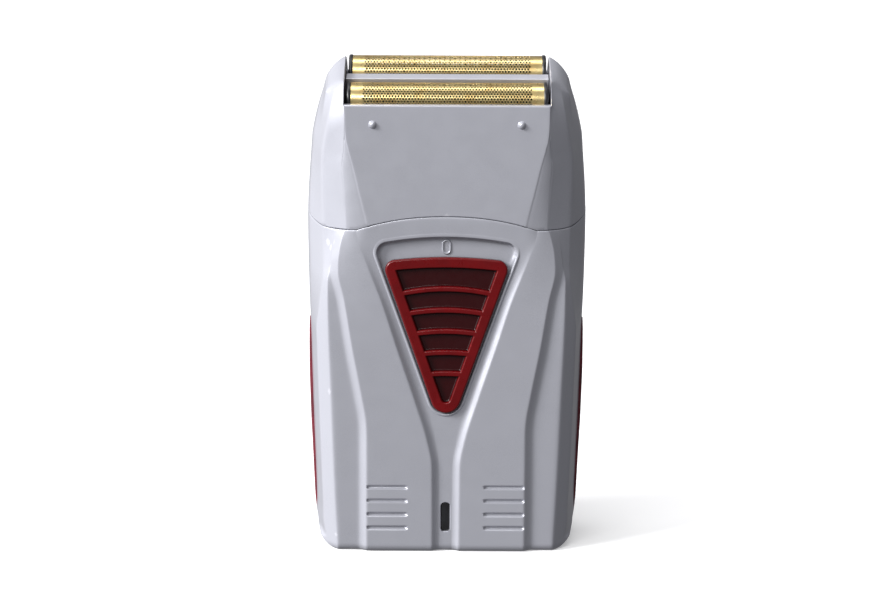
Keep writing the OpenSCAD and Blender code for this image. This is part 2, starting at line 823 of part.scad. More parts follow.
module foil_front() foil(-half_pitch);
module foil_rear() foil(half_pitch);
module foil_springs_front() foil_springs(-half_pitch);
module foil_springs_rear() foil_springs(half_pitch);

// ---- Charging ----

socket_z = 0.4;
inlet_r = 3.2;
inlet_flange_r = 4.2;
contact_t = 0.3;
contact_x = inlet_r + contact_t;
module charge_inlet() {
    color(black) translate([0, cell_y, 0]) difference() {
        union() {
            translate([0, 0, socket_z]) cylinder(r = inlet_r, h = socket_len + 1);
            translate([0, 0, wall]) cylinder(r = inlet_flange_r, h = 1.2);
        }
        translate([0, 0, socket_z - 1]) cylinder(r = socket_r, h = socket_len + 1);
    }
}
module charge_contacts() {
    color(gold) for (s = [0, 1]) mirror([s, 0, 0])
        translate([inlet_r, cell_y - 1, 5.5]) cube([contact_t, 2, 4]);
}

front_shell();
back_shell();
left_grip();
right_grip();
case_seal();
case_screws();
switch_plate();
power_slider();
slider_carrier();
slide_switch_body();
slide_switch_knob();
circuit_board();
led_chip();
led_lens();
battery_cell();
battery_tabs();
charge_leads();
motor_can();
motor_end_cap();
motor_leads();
motor_bracket();
motor_screws();
bracket_screws();
motor_shaft();
eccentric();
neck_deck();
neck_seal();
drive_flexures();
flexure_screws();
drive_bridge();
cutter_carrier_front();
cutter_carrier_rear();
cutter_blades_front();
cutter_blades_rear();
cutter_spring_front();
cutter_spring_rear();
head_frame();
foil_holder_front();
foil_holder_rear();
foil_front();
foil_rear();
foil_springs_front();
foil_springs_rear();
charge_inlet();
charge_contacts();
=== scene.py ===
import json
import math
import bmesh
import bpy
import numpy as np
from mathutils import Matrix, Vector


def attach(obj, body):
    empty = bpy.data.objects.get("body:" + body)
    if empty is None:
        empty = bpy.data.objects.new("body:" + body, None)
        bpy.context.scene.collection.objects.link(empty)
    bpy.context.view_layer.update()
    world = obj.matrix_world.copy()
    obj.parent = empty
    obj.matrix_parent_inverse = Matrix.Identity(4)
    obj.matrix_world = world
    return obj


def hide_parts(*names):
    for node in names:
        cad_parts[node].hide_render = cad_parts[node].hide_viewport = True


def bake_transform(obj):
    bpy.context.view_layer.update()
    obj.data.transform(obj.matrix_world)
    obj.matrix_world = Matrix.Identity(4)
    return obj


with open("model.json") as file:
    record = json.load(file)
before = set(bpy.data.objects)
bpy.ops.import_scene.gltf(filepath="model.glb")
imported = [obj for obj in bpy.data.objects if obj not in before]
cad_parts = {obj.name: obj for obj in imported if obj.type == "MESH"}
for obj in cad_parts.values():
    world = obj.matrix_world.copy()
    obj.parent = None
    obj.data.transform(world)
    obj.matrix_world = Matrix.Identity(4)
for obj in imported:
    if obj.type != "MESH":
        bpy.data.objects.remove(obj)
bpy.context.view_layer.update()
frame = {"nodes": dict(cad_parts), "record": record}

# Lengths are in millimetres, and turn into metres when a mesh is made. Lights and camera are in metres.
MM = 0.001
SLANT = math.radians(28)
HEAD_Y, HEAD_Z = -4.7, 107.5
FRONT_Y, BACK_Y = -15.4, 16.2
HALF_W = 32.1
SIDE_FRONT, SIDE_BACK = -3.5, 5  # depths where the side and the round back start
BACK_DEPTH = BACK_Y - SIDE_BACK
SEAM_GAP = 0.13
WALL = 2.2
LIP = 0.18


# ---- Curves, outlines and grids ----

def curve(*points):
    """Smooth curve through (position, value) points that never overshoots them."""
    at = np.array([p[0] for p in points], float)
    value = np.array([p[1] for p in points], float)
    step = np.diff(at)
    slope = np.diff(value) / step
    tangent = np.empty(len(at))
    tangent[0], tangent[-1] = slope[0], slope[-1]
    a, b = slope[:-1], slope[1:]
    mean = (a * step[1:] + b * step[:-1]) / (step[1:] + step[:-1])
    limit = 3 * np.minimum(abs(a), abs(b))
    tangent[1:-1] = np.where(a * b > 0, np.clip(mean, -limit, limit), 0)

    def read(x):
        x = np.clip(np.asarray(x, float), at[0], at[-1])
        i = np.clip(np.searchsorted(at, x, side="right") - 1, 0, len(at) - 2)
        h = step[i]
        t = (x - at[i]) / h
        return (value[i] * (2 * t**3 - 3 * t**2 + 1) + value[i + 1] * (3 * t**2 - 2 * t**3)
                + h * tangent[i] * (t**3 - 2 * t**2 + t) + h * tangent[i + 1] * (t**3 - t**2))
    return read


def smooth(t):
    t = np.clip(t, 0, 1)
    return t * t * (3 - 2 * t)


def spread(cells, ease=0.0):
    """Fractions 0 to 1, packed closer together at both ends as ease goes to 1."""
    t = np.linspace(0, 1, cells + 1)
    return (1 - ease) * t + ease * (1 - np.cos(math.pi * t)) / 2


def around(count):
    """Angles evenly spaced over a full turn."""
    return np.linspace(0, 2 * math.pi, count, endpoint=False)


def bend_over(a, corner, b, t):
    """A point on the curve that rounds a corner between a and b."""
    return (1 - t) ** 2 * a + 2 * t * (1 - t) * corner + t * t * b


def arc(cx, cz, r, start, end, steps):
    a = np.radians(np.linspace(start, end, steps + 1))
    return np.stack([cx + r * np.cos(a), cz + r * np.sin(a)], 1)


def both_sides(right):
    left = right[::-1] * [-1, 1]
    return np.concatenate([right, left[1:-1]])


def resample(outline, count):
    """A closed outline with its points evenly spaced."""
    ring = np.vstack([outline, outline[:1]])
    run = np.concatenate([[0], np.cumsum(np.linalg.norm(np.diff(ring, axis=0), axis=1))])
    at = np.linspace(0, run[-1], count, endpoint=False)
    return np.stack([np.interp(at, run, ring[:, k]) for k in (0, 1)], 1)


def outline_normals(outline):
    """Outward directions of a closed outline that runs anticlockwise."""
    tangent = np.roll(outline, -1, 0) - np.roll(outline, 1, 0)
    tangent /= np.linalg.norm(tangent, axis=1)[:, None]
    return np.stack([tangent[:, 1], -tangent[:, 0]], 1)


def distance(points, outline):
    """Distance of 2-D points from a closed outline, negative inside it."""
    flat = points.reshape(-1, 2)
    a, b = outline, np.roll(outline, -1, 0)
    d = b - a
    result = np.empty(len(flat))
    for i in range(0, len(flat), 4000):
        p = flat[i:i + 4000, None, :]
        t = np.clip(((p - a) * d).sum(-1) / (d * d).sum(-1), 0, 1)
        gap = np.linalg.norm(p - a - t[..., None] * d, axis=-1).min(1)
        straddles = (a[:, 1] > p[..., 1]) != (b[:, 1] > p[..., 1])
        rise = np.where(d[:, 1] == 0, 1e-12, d[:, 1])
        crosses = straddles & (p[..., 0] < a[:, 0] + d[:, 0] * (p[..., 1] - a[:, 1]) / rise)
        result[i:i + 4000] = np.where(crosses.sum(1) % 2 == 1, -gap, gap)
    return result.reshape(points.shape[:-1])


def oval_distance(x, z, centre_z, r, straight):
    """Distance from an upright oval with round ends, negative inside it."""
    return np.hypot(x, np.maximum(abs(z - centre_z) - straight / 2, 0)) - r


def on_head(u, v, w):
    """Points in the head's own axes, put in the frame."""
    c, s = math.cos(SLANT), math.sin(SLANT)
    u, v, w = np.broadcast_arrays(u, v, w)
    return np.stack([u, HEAD_Y + v * c - w * s, HEAD_Z + v * s + w * c], -1).astype(float)


class Shape:
    """Collects vertices and faces of one piece."""

    def __init__(self):
        self.verts, self.faces = [], []

    def add(self, verts, faces):
        start = len(self.verts)
        self.verts.extend(np.asarray(verts, float).reshape(-1, 3).tolist())
        self.faces.extend([tuple(i + start for i in f) for f in faces])
        return self

    def grid(self, points, wrap_rows=False, wrap_columns=False):
        n, m = points.shape[:2]
        index = np.arange(n * m).reshape(n, m)
        if wrap_rows:
            index = np.vstack([index, index[:1]])
        if wrap_columns:
            index = np.hstack([index, index[:, :1]])
        quads = np.stack([index[:-1, :-1], index[:-1, 1:], index[1:, 1:], index[1:, :-1]], -1)
        return self.add(points, quads.reshape(-1, 4).tolist())

    def loft(self, *rings, cap_first=False, cap_last=False):
        """Closed rings of equal length, joined in order."""
        rings = np.array(rings)
        n, m = rings.shape[:2]
        self.grid(rings, wrap_columns=True)
        start = len(self.verts) - n * m
        if cap_first:
            self.faces.append(tuple(range(start, start + m))[::-1])
        if cap_last:
            self.faces.append(tuple(range(start + (n - 1) * m, start + n * m)))
        return self

    def capped(self, *rings):
        return self.loft(*rings, cap_first=True, cap_last=True)

    def beam(self, corners, r, us):
        """A bar across the head, with the same rounded section at every u."""
        section = rounded_section(corners, r)
        self.capped(*[on_head(u, section[:, 0], section[:, 1]) for u in us])

    def trimmed(self, points, keep):
        """The part of a grid where keep is positive, cut cleanly along the line where it is zero."""
        n, m = keep.shape
        inside = keep > 0
        place, verts, faces = {}, [], []

        def vertex(a, b=None):
            key = a if b is None else (min(a, b), max(a, b))
            if key not in place:
                place[key] = len(verts)
                if b is None:
                    verts.append(points[a])
                else:
                    t = keep[a] / (keep[a] - keep[b])
                    verts.append(points[a] + (points[b] - points[a]) * t)
            return place[key]

        for i in range(n - 1):
            for j in range(m - 1):
                cell = [(i, j), (i, j + 1), (i + 1, j + 1), (i + 1, j)]
                kept = [inside[c] for c in cell]
                if not any(kept):
                    continue
                face = []
                for k in range(4):
                    a, b = cell[k], cell[(k + 1) % 4]
                    if kept[k]:
                        face.append(vertex(a))
                    if kept[k] != kept[(k + 1) % 4]:
                        face.append(vertex(a, b))
                faces.append(face)
        return self.add(np.array(verts), faces)

    def sweep(self, path, r, sides=8):
        """A round wire along path, with rounded ends."""
        tangent = np.gradient(path, axis=0)
        tangent /= np.linalg.norm(tangent, axis=1)[:, None]
        side = np.cross(tangent[0], [0.31, 0.87, 0.38])
        rings = []
        a = around(sides)
        for p, t in zip(path, tangent):
            side = side - t * side.dot(t)
            side /= np.linalg.norm(side)
            up = np.cross(t, side)
            rings.append(p + r * (np.cos(a)[:, None] * side + np.sin(a)[:, None] * up))
        ends = []
        for p, t, ring in ((path[0], -tangent[0], rings[0]), (path[-1], tangent[-1], rings[-1])):
            ends.append([p + (ring - p) * math.cos(b) + t * r * math.sin(b) for b in (0.5, 1.0, 1.4)])
        self.capped(*ends[0][::-1], *rings, *ends[1])


def outward(mesh):
    """Turns all faces over if most of them look at the middle of the mesh."""
    count = len(mesh.polygons)
    centres, normals, areas = np.empty(count * 3), np.empty(count * 3), np.empty(count)
    mesh.polygons.foreach_get("center", centres)
    mesh.polygons.foreach_get("normal", normals)
    mesh.polygons.foreach_get("area", areas)
    centres, normals = centres.reshape(-1, 3), normals.reshape(-1, 3)
    middle = (centres * areas[:, None]).sum(0) / areas.sum()
    if (((centres - middle) * normals).sum(1) * areas).sum() < 0:
        mesh.flip_normals()


def linked(name, data):
    made = bpy.data.objects.new(name, data)
    bpy.context.scene.collection.objects.link(made)
    return made


def piece(name, shape, body, slot, sharp=None, solid=None, turn=False, recalc=True, replaces=()):
    """Makes one visible piece from a Shape, and lets it ride on a body."""
    mesh = bpy.data.meshes.new(name)
    mesh.from_pydata((np.array(shape.verts) * MM).tolist(), [], shape.faces)
    work = bmesh.new()
    work.from_mesh(mesh)
    bmesh.ops.remove_doubles(work, verts=work.verts, dist=2e-6)
    bmesh.ops.dissolve_degenerate(work, edges=work.edges, dist=1e-7)
    if recalc:
        bmesh.ops.recalc_face_normals(work, faces=work.faces)
    work.to_mesh(mesh)
    work.free()
    mesh.validate()
    if turn:
        outward(mesh)
    mesh.shade_smooth()
    if sharp:
        mesh.set_sharp_from_angle(angle=math.radians(sharp))
    mesh.materials.append(FINISHES[slot])
    made = linked(name, mesh)
    if solid:
        uses = np.zeros(len(mesh.loops), int)
        mesh.loops.foreach_get("edge_index", uses)
        for edge in np.flatnonzero(np.bincount(uses, minlength=len(mesh.edges)) == 1):
            mesh.edges[int(edge)].use_edge_sharp = True
        thick = made.modifiers.new("thickness", "SOLIDIFY")
        thick.thickness, thick.offset = solid * MM, -1
    if body:
        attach(made, body)
    if replaces:
        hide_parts(*replaces)
    return made


# ---- Materials ----

FINISHES = {}


class Finish:
    """One procedural material, read in object space, in millimetres."""

    def __init__(self, name):
        made = bpy.data.materials.new(name)
        FINISHES[name] = made
        made.use_nodes = True
        self.tree = made.node_tree
        self.shader = self.tree.nodes["Principled BSDF"]
        place = self.add("TexCoord")
        scale = self.add("VectorMath", operation="SCALE")
        scale.inputs["Scale"].default_value = 1 / MM
        self.join(place.outputs["Object"], scale.inputs[0])
        self.place = scale.outputs[0]
        self.height = None

    def add(self, kind, **settings):
        made = self.tree.nodes.new("ShaderNode" + kind)
        for key, value in settings.items():
            setattr(made, key, value)
        return made

    def join(self, a, b):
        self.tree.links.new(a, b)

    def set(self, **values):
        for key, value in values.items():
            self.shader.inputs[key.replace("_", " ")].default_value = value
        return self

    def stretched(self, *factors):
        node = self.add("VectorMath", operation="MULTIPLY")
        node.inputs[1].default_value = factors
        self.join(self.place, node.inputs[0])
        return node.outputs[0]

    def noise(self, size, detail, place=None):
        """Noise from 0 to 1 whose lumps are about size millimetres."""
        node = self.add("TexNoise")
        node.inputs["Scale"].default_value = 1 / size
        node.inputs["Detail"].default_value = detail
        self.join(place or self.place, node.inputs["Vector"])
        return node.outputs["Fac"]

    def remap(self, value, low, high, to_low, to_high):
        node = self.add("MapRange", interpolation_type="SMOOTHSTEP")
        ends = {"From Min": low, "From Max": high, "To Min": to_low, "To Max": to_high}
        for key, number in ends.items():
            node.inputs[key].default_value = number
        self.join(value, node.inputs["Value"])
        return node.outputs["Result"]

    def clouds(self, size, detail, low=0, high=1, place=None):
        """Noise that fills the range from low to high."""
        return self.remap(self.noise(size, detail, place), 0.3, 0.7, low, high)

    def mix(self, factor, a, b):
        node = self.add("Mix", data_type="RGBA")
        self.join(factor, node.inputs["Factor"])
        for value, socket in ((a, node.inputs[6]), (b, node.inputs[7])):
            if isinstance(value, tuple):
                socket.default_value = (*value, 1)
            else:
                self.join(value, socket)
        return node.outputs[2]

    def colour(self, value):
        self.join(value, self.shader.inputs["Base Color"])

    def roughness(self, value):
        self.join(value, self.shader.inputs["Roughness"])

    def bump(self, value, pocket_shade, strength):
        """Adds a relief of depth millimetres."""
        node = self.add("Bump")
        node.inputs["Distance"].default_value = pocket_shade * MM
        node.inputs["Strength"].default_value = strength
        self.join(value, node.inputs["Height"])
        if self.height is not None:
            self.join(self.height, node.inputs["Normal"])
        self.height = node.outputs["Normal"]
        self.join(self.height, self.shader.inputs["Normal"])

    # Lightens the sharpest edges, found by pointiness: a painted highlight standing in for light caught on
    # their rounding.
    def glinting_edges(self, base, glint_colour, low=0.53, high=0.62):
        geometry = self.add("NewGeometry")
        return self.mix(self.remap(geometry.outputs["Pointiness"], low, high, 0, 0.5), base, glint_colour)


def srgb(r, g, b):
    """Screen colour 0 to 255 as scene-linear numbers."""
    return tuple(c / 255 / 12.92 if c <= 10 else ((c / 255 + 0.055) / 1.055) ** 2.4 for c in (r, g, b))


def silver():
    m = Finish("silver_paint")
    m.set(Metallic=0.35, Coat_Weight=0.35, Coat_Roughness=0.12, Specular_IOR_Level=0.5)
    flake = m.remap(m.noise(0.09, 1), 0.35, 0.65, 0, 1)
    cloud = m.clouds(14, 3)
    fine = m.mix(flake, srgb(162, 163, 171), srgb(178, 179, 187))
    base = m.mix(cloud, fine, srgb(171, 172, 180))
    # Painted highlight: the sharpest edges are lightened.
    m.colour(m.glinting_edges(base, srgb(206, 206, 212), 0.54, 0.66))
    m.roughness(m.clouds(3.5, 4, 0.3, 0.37))
    m.bump(m.noise(0.55, 2), 0.004, 0.4)
    m.bump(m.noise(0.09, 1), 0.0012, 0.4)


def moulded(name, dark, light, rough, grain, pocket_shade, **settings):
    """Plain moulded plastic or rubber with a fine grain, faint clouds and a painted highlight on its sharp
    edges.
    """
    m = Finish(name).set(**settings)
    light = srgb(*light)
    edge_glint = tuple(min(1, 1.6 * c + 0.01) for c in light)
    m.colour(m.glinting_edges(m.mix(m.clouds(5, 3), srgb(*dark), light), edge_glint))
    m.roughness(m.clouds(1.3, 3, rough - 0.05, rough + 0.06))
    m.bump(m.noise(grain, 2), pocket_shade, 0.6)


def metal(name, dark, light, rough, stretch):
    """Metal with a fine directional grain."""
    m = Finish(name).set(Metallic=1.0)
    streak = m.noise(0.12, 3, m.stretched(*stretch))
    m.colour(m.mix(m.remap(streak, 0.3, 0.7, 0, 1), srgb(*dark), srgb(*light)))
    m.roughness(m.clouds(1.1, 3, rough - 0.06, rough + 0.07, m.stretched(*stretch)))
    m.bump(streak, 0.002, 0.5)


def red_gloss():
    m = Finish("red_plastic").set(Coat_Weight=0.12, Coat_Roughness=0.1, Specular_IOR_Level=0.26)
    axis = m.add("SeparateXYZ")
    m.join(m.place, axis.inputs[0])
    # Painted shade: the colour darkens with depth into the pockets between the ribs, and sharp edges get a
    # painted highlight.
    pocket_shade = m.remap(axis.outputs["Y"], -15.55, -14.95, 0, 1)
    proud = m.mix(m.clouds(4, 3), srgb(88, 3, 6), srgb(98, 4, 8))
    m.colour(m.glinting_edges(m.mix(pocket_shade, proud, srgb(42, 3, 5)), srgb(132, 16, 22)))
    m.roughness(m.clouds(1.5, 3, 0.26, 0.34))
    m.bump(m.noise(0.4, 2), 0.001, 0.3)


def foil_gold():
    m = Finish("gold_foil").set(Metallic=1.0)
    grain = m.noise(0.14, 3, m.stretched(0.15, 1, 1))
    warm = m.mix(m.remap(grain, 0.3, 0.7, 0, 1), srgb(226, 202, 140), srgb(236, 214, 156))
    m.colour(m.mix(m.remap(m.noise(2.5, 2), 0.4, 0.8, 0, 1), warm, srgb(220, 186, 120)))
    m.roughness(m.clouds(0.9, 3, 0.27, 0.34))
    m.bump(grain, 0.0006, 0.3)


def board():
    m = Finish("board_green").set(Coat_Weight=0.4, Coat_Roughness=0.1)
    tracks = m.add("TexBrick", offset=0.35)
    tracks.inputs["Scale"].default_value = 0.45
    tracks.inputs["Mortar Size"].default_value = 0.035
    for socket, colour in (("Color1", (12, 74, 38)), ("Color2", (14, 84, 44)), ("Mortar", (40, 124, 66))):
        tracks.inputs[socket].default_value = (*srgb(*colour), 1)
    turned = m.add("Mapping")
    turned.inputs["Rotation"].default_value = (math.pi / 2, 0, 0)
    m.join(m.place, turned.inputs["Vector"])
    m.join(turned.outputs[0], tracks.inputs["Vector"])
    m.colour(tracks.outputs["Color"])
    m.roughness(m.clouds(1, 3, 0.3, 0.42))
    m.bump(tracks.outputs["Fac"], 0.02, 0.5)


def sleeve():
    m = Finish("cell_wrap").set(Coat_Weight=0.5, Coat_Roughness=0.15)
    m.colour(m.mix(m.clouds(6, 3), srgb(34, 74, 128), srgb(44, 90, 148)))
    m.roughness(m.clouds(2, 3, 0.28, 0.4))
    m.bump(m.noise(1.6, 3, m.stretched(1, 1, 0.25)), 0.03, 0.5)


silver()
red_gloss()
foil_gold()
# Name, dark and light colour, roughness, then the grain's size and depth, or the metal's stretch
moulded("wine_grip", (82, 10, 26), (104, 14, 34), 0.45, 0.3, 0.02, Coat_Weight=0.1)
moulded("black_plastic", (20, 20, 22), (30, 30, 33), 0.38, 0.2, 0.006)
moulded("black_rubber", (24, 24, 25), (36, 36, 37), 0.75, 0.35, 0.02)
moulded("white_plastic", (222, 219, 208), (236, 233, 224), 0.42, 0.3, 0.004, Subsurface_Weight=0.1)
moulded("smoked_lens", (16, 17, 19), (30, 31, 34), 0.14, 0.8, 0.002, Coat_Weight=0.6)
# Dark steel for the cutter blades: painted shade, so the blades seen through the foil's holes read dark;
# the real blades are bright steel.
metal("dark_shade_blade_steel", (34, 33, 34), (52, 50, 50), 0.42, (0.2, 1, 1))
metal("steel", (170, 172, 176), (206, 208, 212), 0.26, (1, 1, 0.2))
metal("brass", (190, 150, 80), (226, 188, 112), 0.3, (1, 1, 0.3))
moulded("wire_cover", (110, 14, 14), (134, 20, 18), 0.5, 0.4, 0.006)
board()
sleeve()


# ---- Outer form of the casing ----

def seam(x, y):
    """Height of the seam under the head, at a point on the casing."""
    a = np.minimum(abs(x), HALF_W)
    rise = np.clip((a - 20.4) / 11.7, 0, 1) ** 4.5
    front = np.where(a < 20.4, 77.5 - 3.1 * (a / 20.4) ** 2.2, 74.4 + 2.9 * rise)
    t = np.clip((y + 3) / 17, 0, 1)
    side = 77.3 + 16.7 * (1 - np.cos(math.pi * t)) / 2
    return np.where(y < -3, front, side)


CORNER_X, CORNER_W, CORNER_H = 24.7, 5.7, 7.0
side_line = curve((7, 30.35), (9, 30.3), (12, 30.35), (16.6, 30.5), (21, 30.65), (28, 30.9), (33, 31.05),
                  (42, 31.3), (50, 31.5), (56, 31.75), (66, 32.0), (76.2, 32.1), (91.3, 31.3), (97, 30.8),
                  (102.7, 29.5), (108.2, 27.6))


def side_x(z):
    """Half width of the casing at height z, with its rounded lower corners."""
    z = np.asarray(z, float)
    fall = np.clip(1 - z / CORNER_H, 0, 1)
    return np.where(z < CORNER_H, CORNER_X + CORNER_W * np.sqrt(1 - fall**2), side_line(z))


def edge_drop(z, r):
    """How far a rounded bottom edge of radius r is drawn in at height z."""
    gap = np.clip(r - z, 0, r)
    return r - np.sqrt(np.maximum(r * r - gap * gap, 0))


# The front, from its middle outwards: channel floor, wall, leg, slope, facet, outer facet, side.
channel_y = curve((0, -14.45), (25, -14.4), (45, -14.3), (60, -14.68), (70, -15.15), (76, -15.4))
channel_x = curve((0, 2.95), (20, 3.05), (26.4, 4.2), (35.7, 7.1), (47.3, 11.0), (58.8, 14.8),
                  (67.8, 18.3), (73.4, 20.2), (76, 20.4))
channel_wall = curve((0, 1.5), (22, 1.5), (35, 2.2), (66, 2.3), (75, 2.6))
channel_bend = curve((0, 1.3), (22, 1.4), (32, 1.9), (62, 1.9), (74, 1.6))
leg_y = curve((0, -15.4), (62, -15.4), (70, -15.25), (76, -14.85))
leg_x = curve((0, 18.1), (27, 18.1), (31, 18.3), (35.7, 19.1), (47.3, 21.3), (58.8, 23.2), (65.3, 24.5),
              (69.5, 24.2), (72.7, 23.5), (75.5, 22.6))
leg_out_y = curve((0, -15.4), (45, -15.4), (58, -15.2), (66, -14.8), (76, -14.3))
slope_w = curve((0, 2.0), (40, 2.0), (50, 1.9), (66, 1.7), (72, 1.5), (76, 1.4))
slope_y = curve((0, -14.2), (45, -14.2), (60, -14.0), (66, -13.45), (71, -13.17), (76, -13.36))
slope_bend = curve((0, 1.6), (56, 1.6), (68, 1.0), (76, 1.0))
facet_x = curve((0, 24.7), (11.8, 25.3), (35.3, 26.2), (58, 26.9), (62.5, 26.9), (66, 26.4), (70, 26.0),
                (76, 25.4))
facet_y = curve((0, -14.2), (45, -14.2), (60, -13.95), (66, -13.2), (71, -12.7), (76, -12.42))
facet_rise = curve((0, 1.2), (60, 1.2), (66, 1.05), (71, 0.9), (76, 0.674))
outer_x = curve((8, 29.0), (20, 29.7), (30, 30.1), (40, 30.4), (48.7, 30.0), (57, 28.9), (66, 27.9),
                (76, 28.1))


def facet_ends(xs, ys, facet):
    """x at both ends of each point's facet, then y at both ends."""
    return [np.take_along_axis(line, facet + end, 0)[0] for line in (xs, ys) for end in (0, 1)]


def casing_front(z, stretch, part):
    """Points of the right half of the front at heights z. stretch counts the facets from the middle
    outwards, and part is how far across that facet the point is."""
    side = side_x(z)
    inner_x = np.minimum(facet_x(z), side - 0.06)
    inner_y = facet_y(z)
    ridge_x = outer_x(z)
    ridge_y = inner_y + facet_rise(z) * (ridge_x - inner_x)
    rim = side_x(np.maximum(z, CORNER_H)) - 0.5

    def facet_line(x):
        first = inner_y + (ridge_y - inner_y) * (x - inner_x) / (ridge_x - inner_x)
        second = ridge_y + (SIDE_FRONT - ridge_y) * (x - ridge_x) / (rim - ridge_x)
        return np.where(x < ridge_x, first, second)

    middle = np.zeros_like(z)
    fold_x = np.minimum(ridge_x, inner_x + 0.6 * (side - inner_x))
    edge_x = np.maximum(np.minimum(rim, side - 0.02), inner_x + 0.01)
    wall_x = channel_x(z)
    xs = np.stack([middle, wall_x - channel_wall(z), wall_x, leg_x(z), leg_x(z) + slope_w(z), inner_x,
                   fold_x, edge_x, side])
    ys = np.stack([channel_y(z), channel_y(z), leg_y(z), leg_out_y(z), slope_y(z), inner_y,
                   facet_line(fold_x), facet_line(edge_x), middle])
    facet = np.broadcast_to(stretch, z.shape)
    x0, x1, y0, y1 = facet_ends(xs, ys, facet[None])
    t = np.broadcast_to(part, z.shape)
    slope = 1 - (1 - t) ** slope_bend(z)
    wall = 0.7 * t ** channel_bend(z) + 0.3 * t**5
    rise = np.where(facet == 1, wall, np.where(facet == 2, t**1.6, np.where(facet == 3, slope, t)))
    y = y0 + (y1 - y0) * rise
    y = y * (1 - edge_drop(z, 1.8) / -FRONT_Y)
    return x0 + (x1 - x0) * t, y


def back_line(z):
    """Depth of the back at height z, over the casing and the head."""
    return head_back(z) - edge_drop(z, 3.0)


head_back = curve((0, BACK_Y), (88, BACK_Y), (91, 16.15), (94, 15.8), (100, 14), (108.4, 10.2))


def even_angles(cells):
    """Angles that space points evenly round the superellipse of the back."""
    a = np.linspace(0, math.pi / 2, 2000)
    x, y = 31 * np.cos(a) ** 0.7, BACK_DEPTH * np.sin(a) ** 0.8
    run = np.concatenate([[0], np.cumsum(np.hypot(np.diff(x), np.diff(y)))])
    return np.interp(np.linspace(0, run[-1], cells + 1), run, a)


def round_back(z, angle):
    c, s = np.maximum(np.cos(angle), 0), np.sin(angle)
    return side_x(z) * c**0.7, SIDE_BACK + (back_line(z) - SIDE_BACK) * s**0.8


def settle(place, bottom, fractions, lift=0.0):
    """Heights of rows from bottom up to the seam, for each column of place(z)."""
    top = np.full(bottom.shape, 77.0)
    for _ in range(12):
        x, y = place(top)
        top = 0.5 * top + 0.5 * (seam(x, y) + lift)
    return bottom + (top - bottom) * np.asarray(fractions)[:, None]


def inset_line(points, amount):
    """A row of points drawn towards the inside of the casing, level."""
    t = np.gradient(points[:, :2], axis=0)
    t /= np.maximum(np.linalg.norm(t, axis=1), 1e-9)[:, None]
    n = np.stack([-t[:, 1], t[:, 0]], 1)
    middle = points[:, :2] * [0.9, 1.0] - [0, 2]
    n *= np.where((n * -middle).sum(1) < 0, -1, 1)[:, None]
    moved = points.copy()
    moved[:, :2] += n * amount
    return moved


def soften(x, y, times):
    """Rounds the creases between facets a little; the ends stay."""
    for _ in range(times):
        x[:, 1:-1] = (x[:, :-2] + 2 * x[:, 1:-1] + x[:, 2:]) / 4
        y[:, 1:-1] = (y[:, :-2] + 2 * y[:, 1:-1] + y[:, 2:]) / 4


def stack(x, y, z):
    return np.stack(np.broadcast_arrays(x, y, z), -1)


def both_halves(grid):
    """A right half whose first column is the middle, with its mirror image."""
    return np.concatenate([grid[:, :0:-1] * [-1, 1, 1], grid], 1)


def lip(top):
    """Rows that round the upper edge of the casing and turn inwards under the head."""
    rows = []
    steps = ((0.02, LIP - 0.1), (0.07, LIP - 0.04), (0.14, LIP), (1.0, LIP), (2.0, LIP), (2.0, -0.6))
    for inward, up in steps:
        row = inset_line(top, inward)
        row[:, 2] += up
        rows.append(row)
    return np.array(rows)


# ---- Outlines on the front ----

def shield(tip_r, tip_z, corner_x, corner_z, corner_r, top_z):
    """Downward-pointing shield with round corners and a gently arched top."""
    lean = math.degrees(math.atan2(corner_x - tip_r, corner_z - tip_z))
    tip = arc(0, tip_z + tip_r, tip_r, -90, -lean, 16)
    corner = arc(corner_x - corner_r, corner_z, corner_r, -lean, 78, 16)
    end_x, end_z = corner[-1]
    x = np.linspace(end_x, 0, 16)[1:]
    top = np.stack([x, top_z - (top_z - end_z) * (x / end_x) ** 2], 1)
    return both_sides(np.concatenate([tip, corner, top]))


RECESS = resample(shield(3.6, 32.5, 15.7, 69.4, 2.4, 73.0), 240)
SLIDER = resample(shield(3.45, 32.7, 13.8, 65.5, 2.3, 68.45), 240)
LED_Z, LED_R, LED_STRAIGHT = 8.1, 1.0, 4.7
PLATE_Y = -13.7
SLIDER_FRONT, SLIDER_BACK = -15.7, -14.16


def oval(r, straight, centre_z, count=48):
    top = arc(0, straight / 2, r, 0, 180, count // 2 - 1)
    return np.concatenate([top, -top]) + [0, centre_z]


def ring_at(outline, offset, y):
    """A ring along an outline on the front, moved outwards by offset, at depth y."""
    p = outline + outline_normals(outline) * offset
    pocket_shade = y(p[:, 1]) if callable(y) else np.full(len(p), y)
    return np.stack([p[:, 0], pocket_shade, p[:, 1]], 1)


# ---- Casing ----

VENT_X, VENT_HALF, VENT_R, VENT_Z, VENT_PITCH = 13.4, 4.7, 0.5, 5.8, 3.17


def vent_depth(x, z):
    pocket_shade = np.zeros(x.shape)
    for i in range(4):
        along = np.maximum(abs(abs(x) - VENT_X) - (VENT_HALF - VENT_R), 0)
        gap = np.hypot(along, z - VENT_Z - VENT_PITCH * i)
        pocket_shade = np.maximum(pocket_shade, 0.55 * smooth((VENT_R + 0.04 - gap) / 0.4))
    return pocket_shade


LED_CORNER, LED_FLOOR = 0.55, -14.2
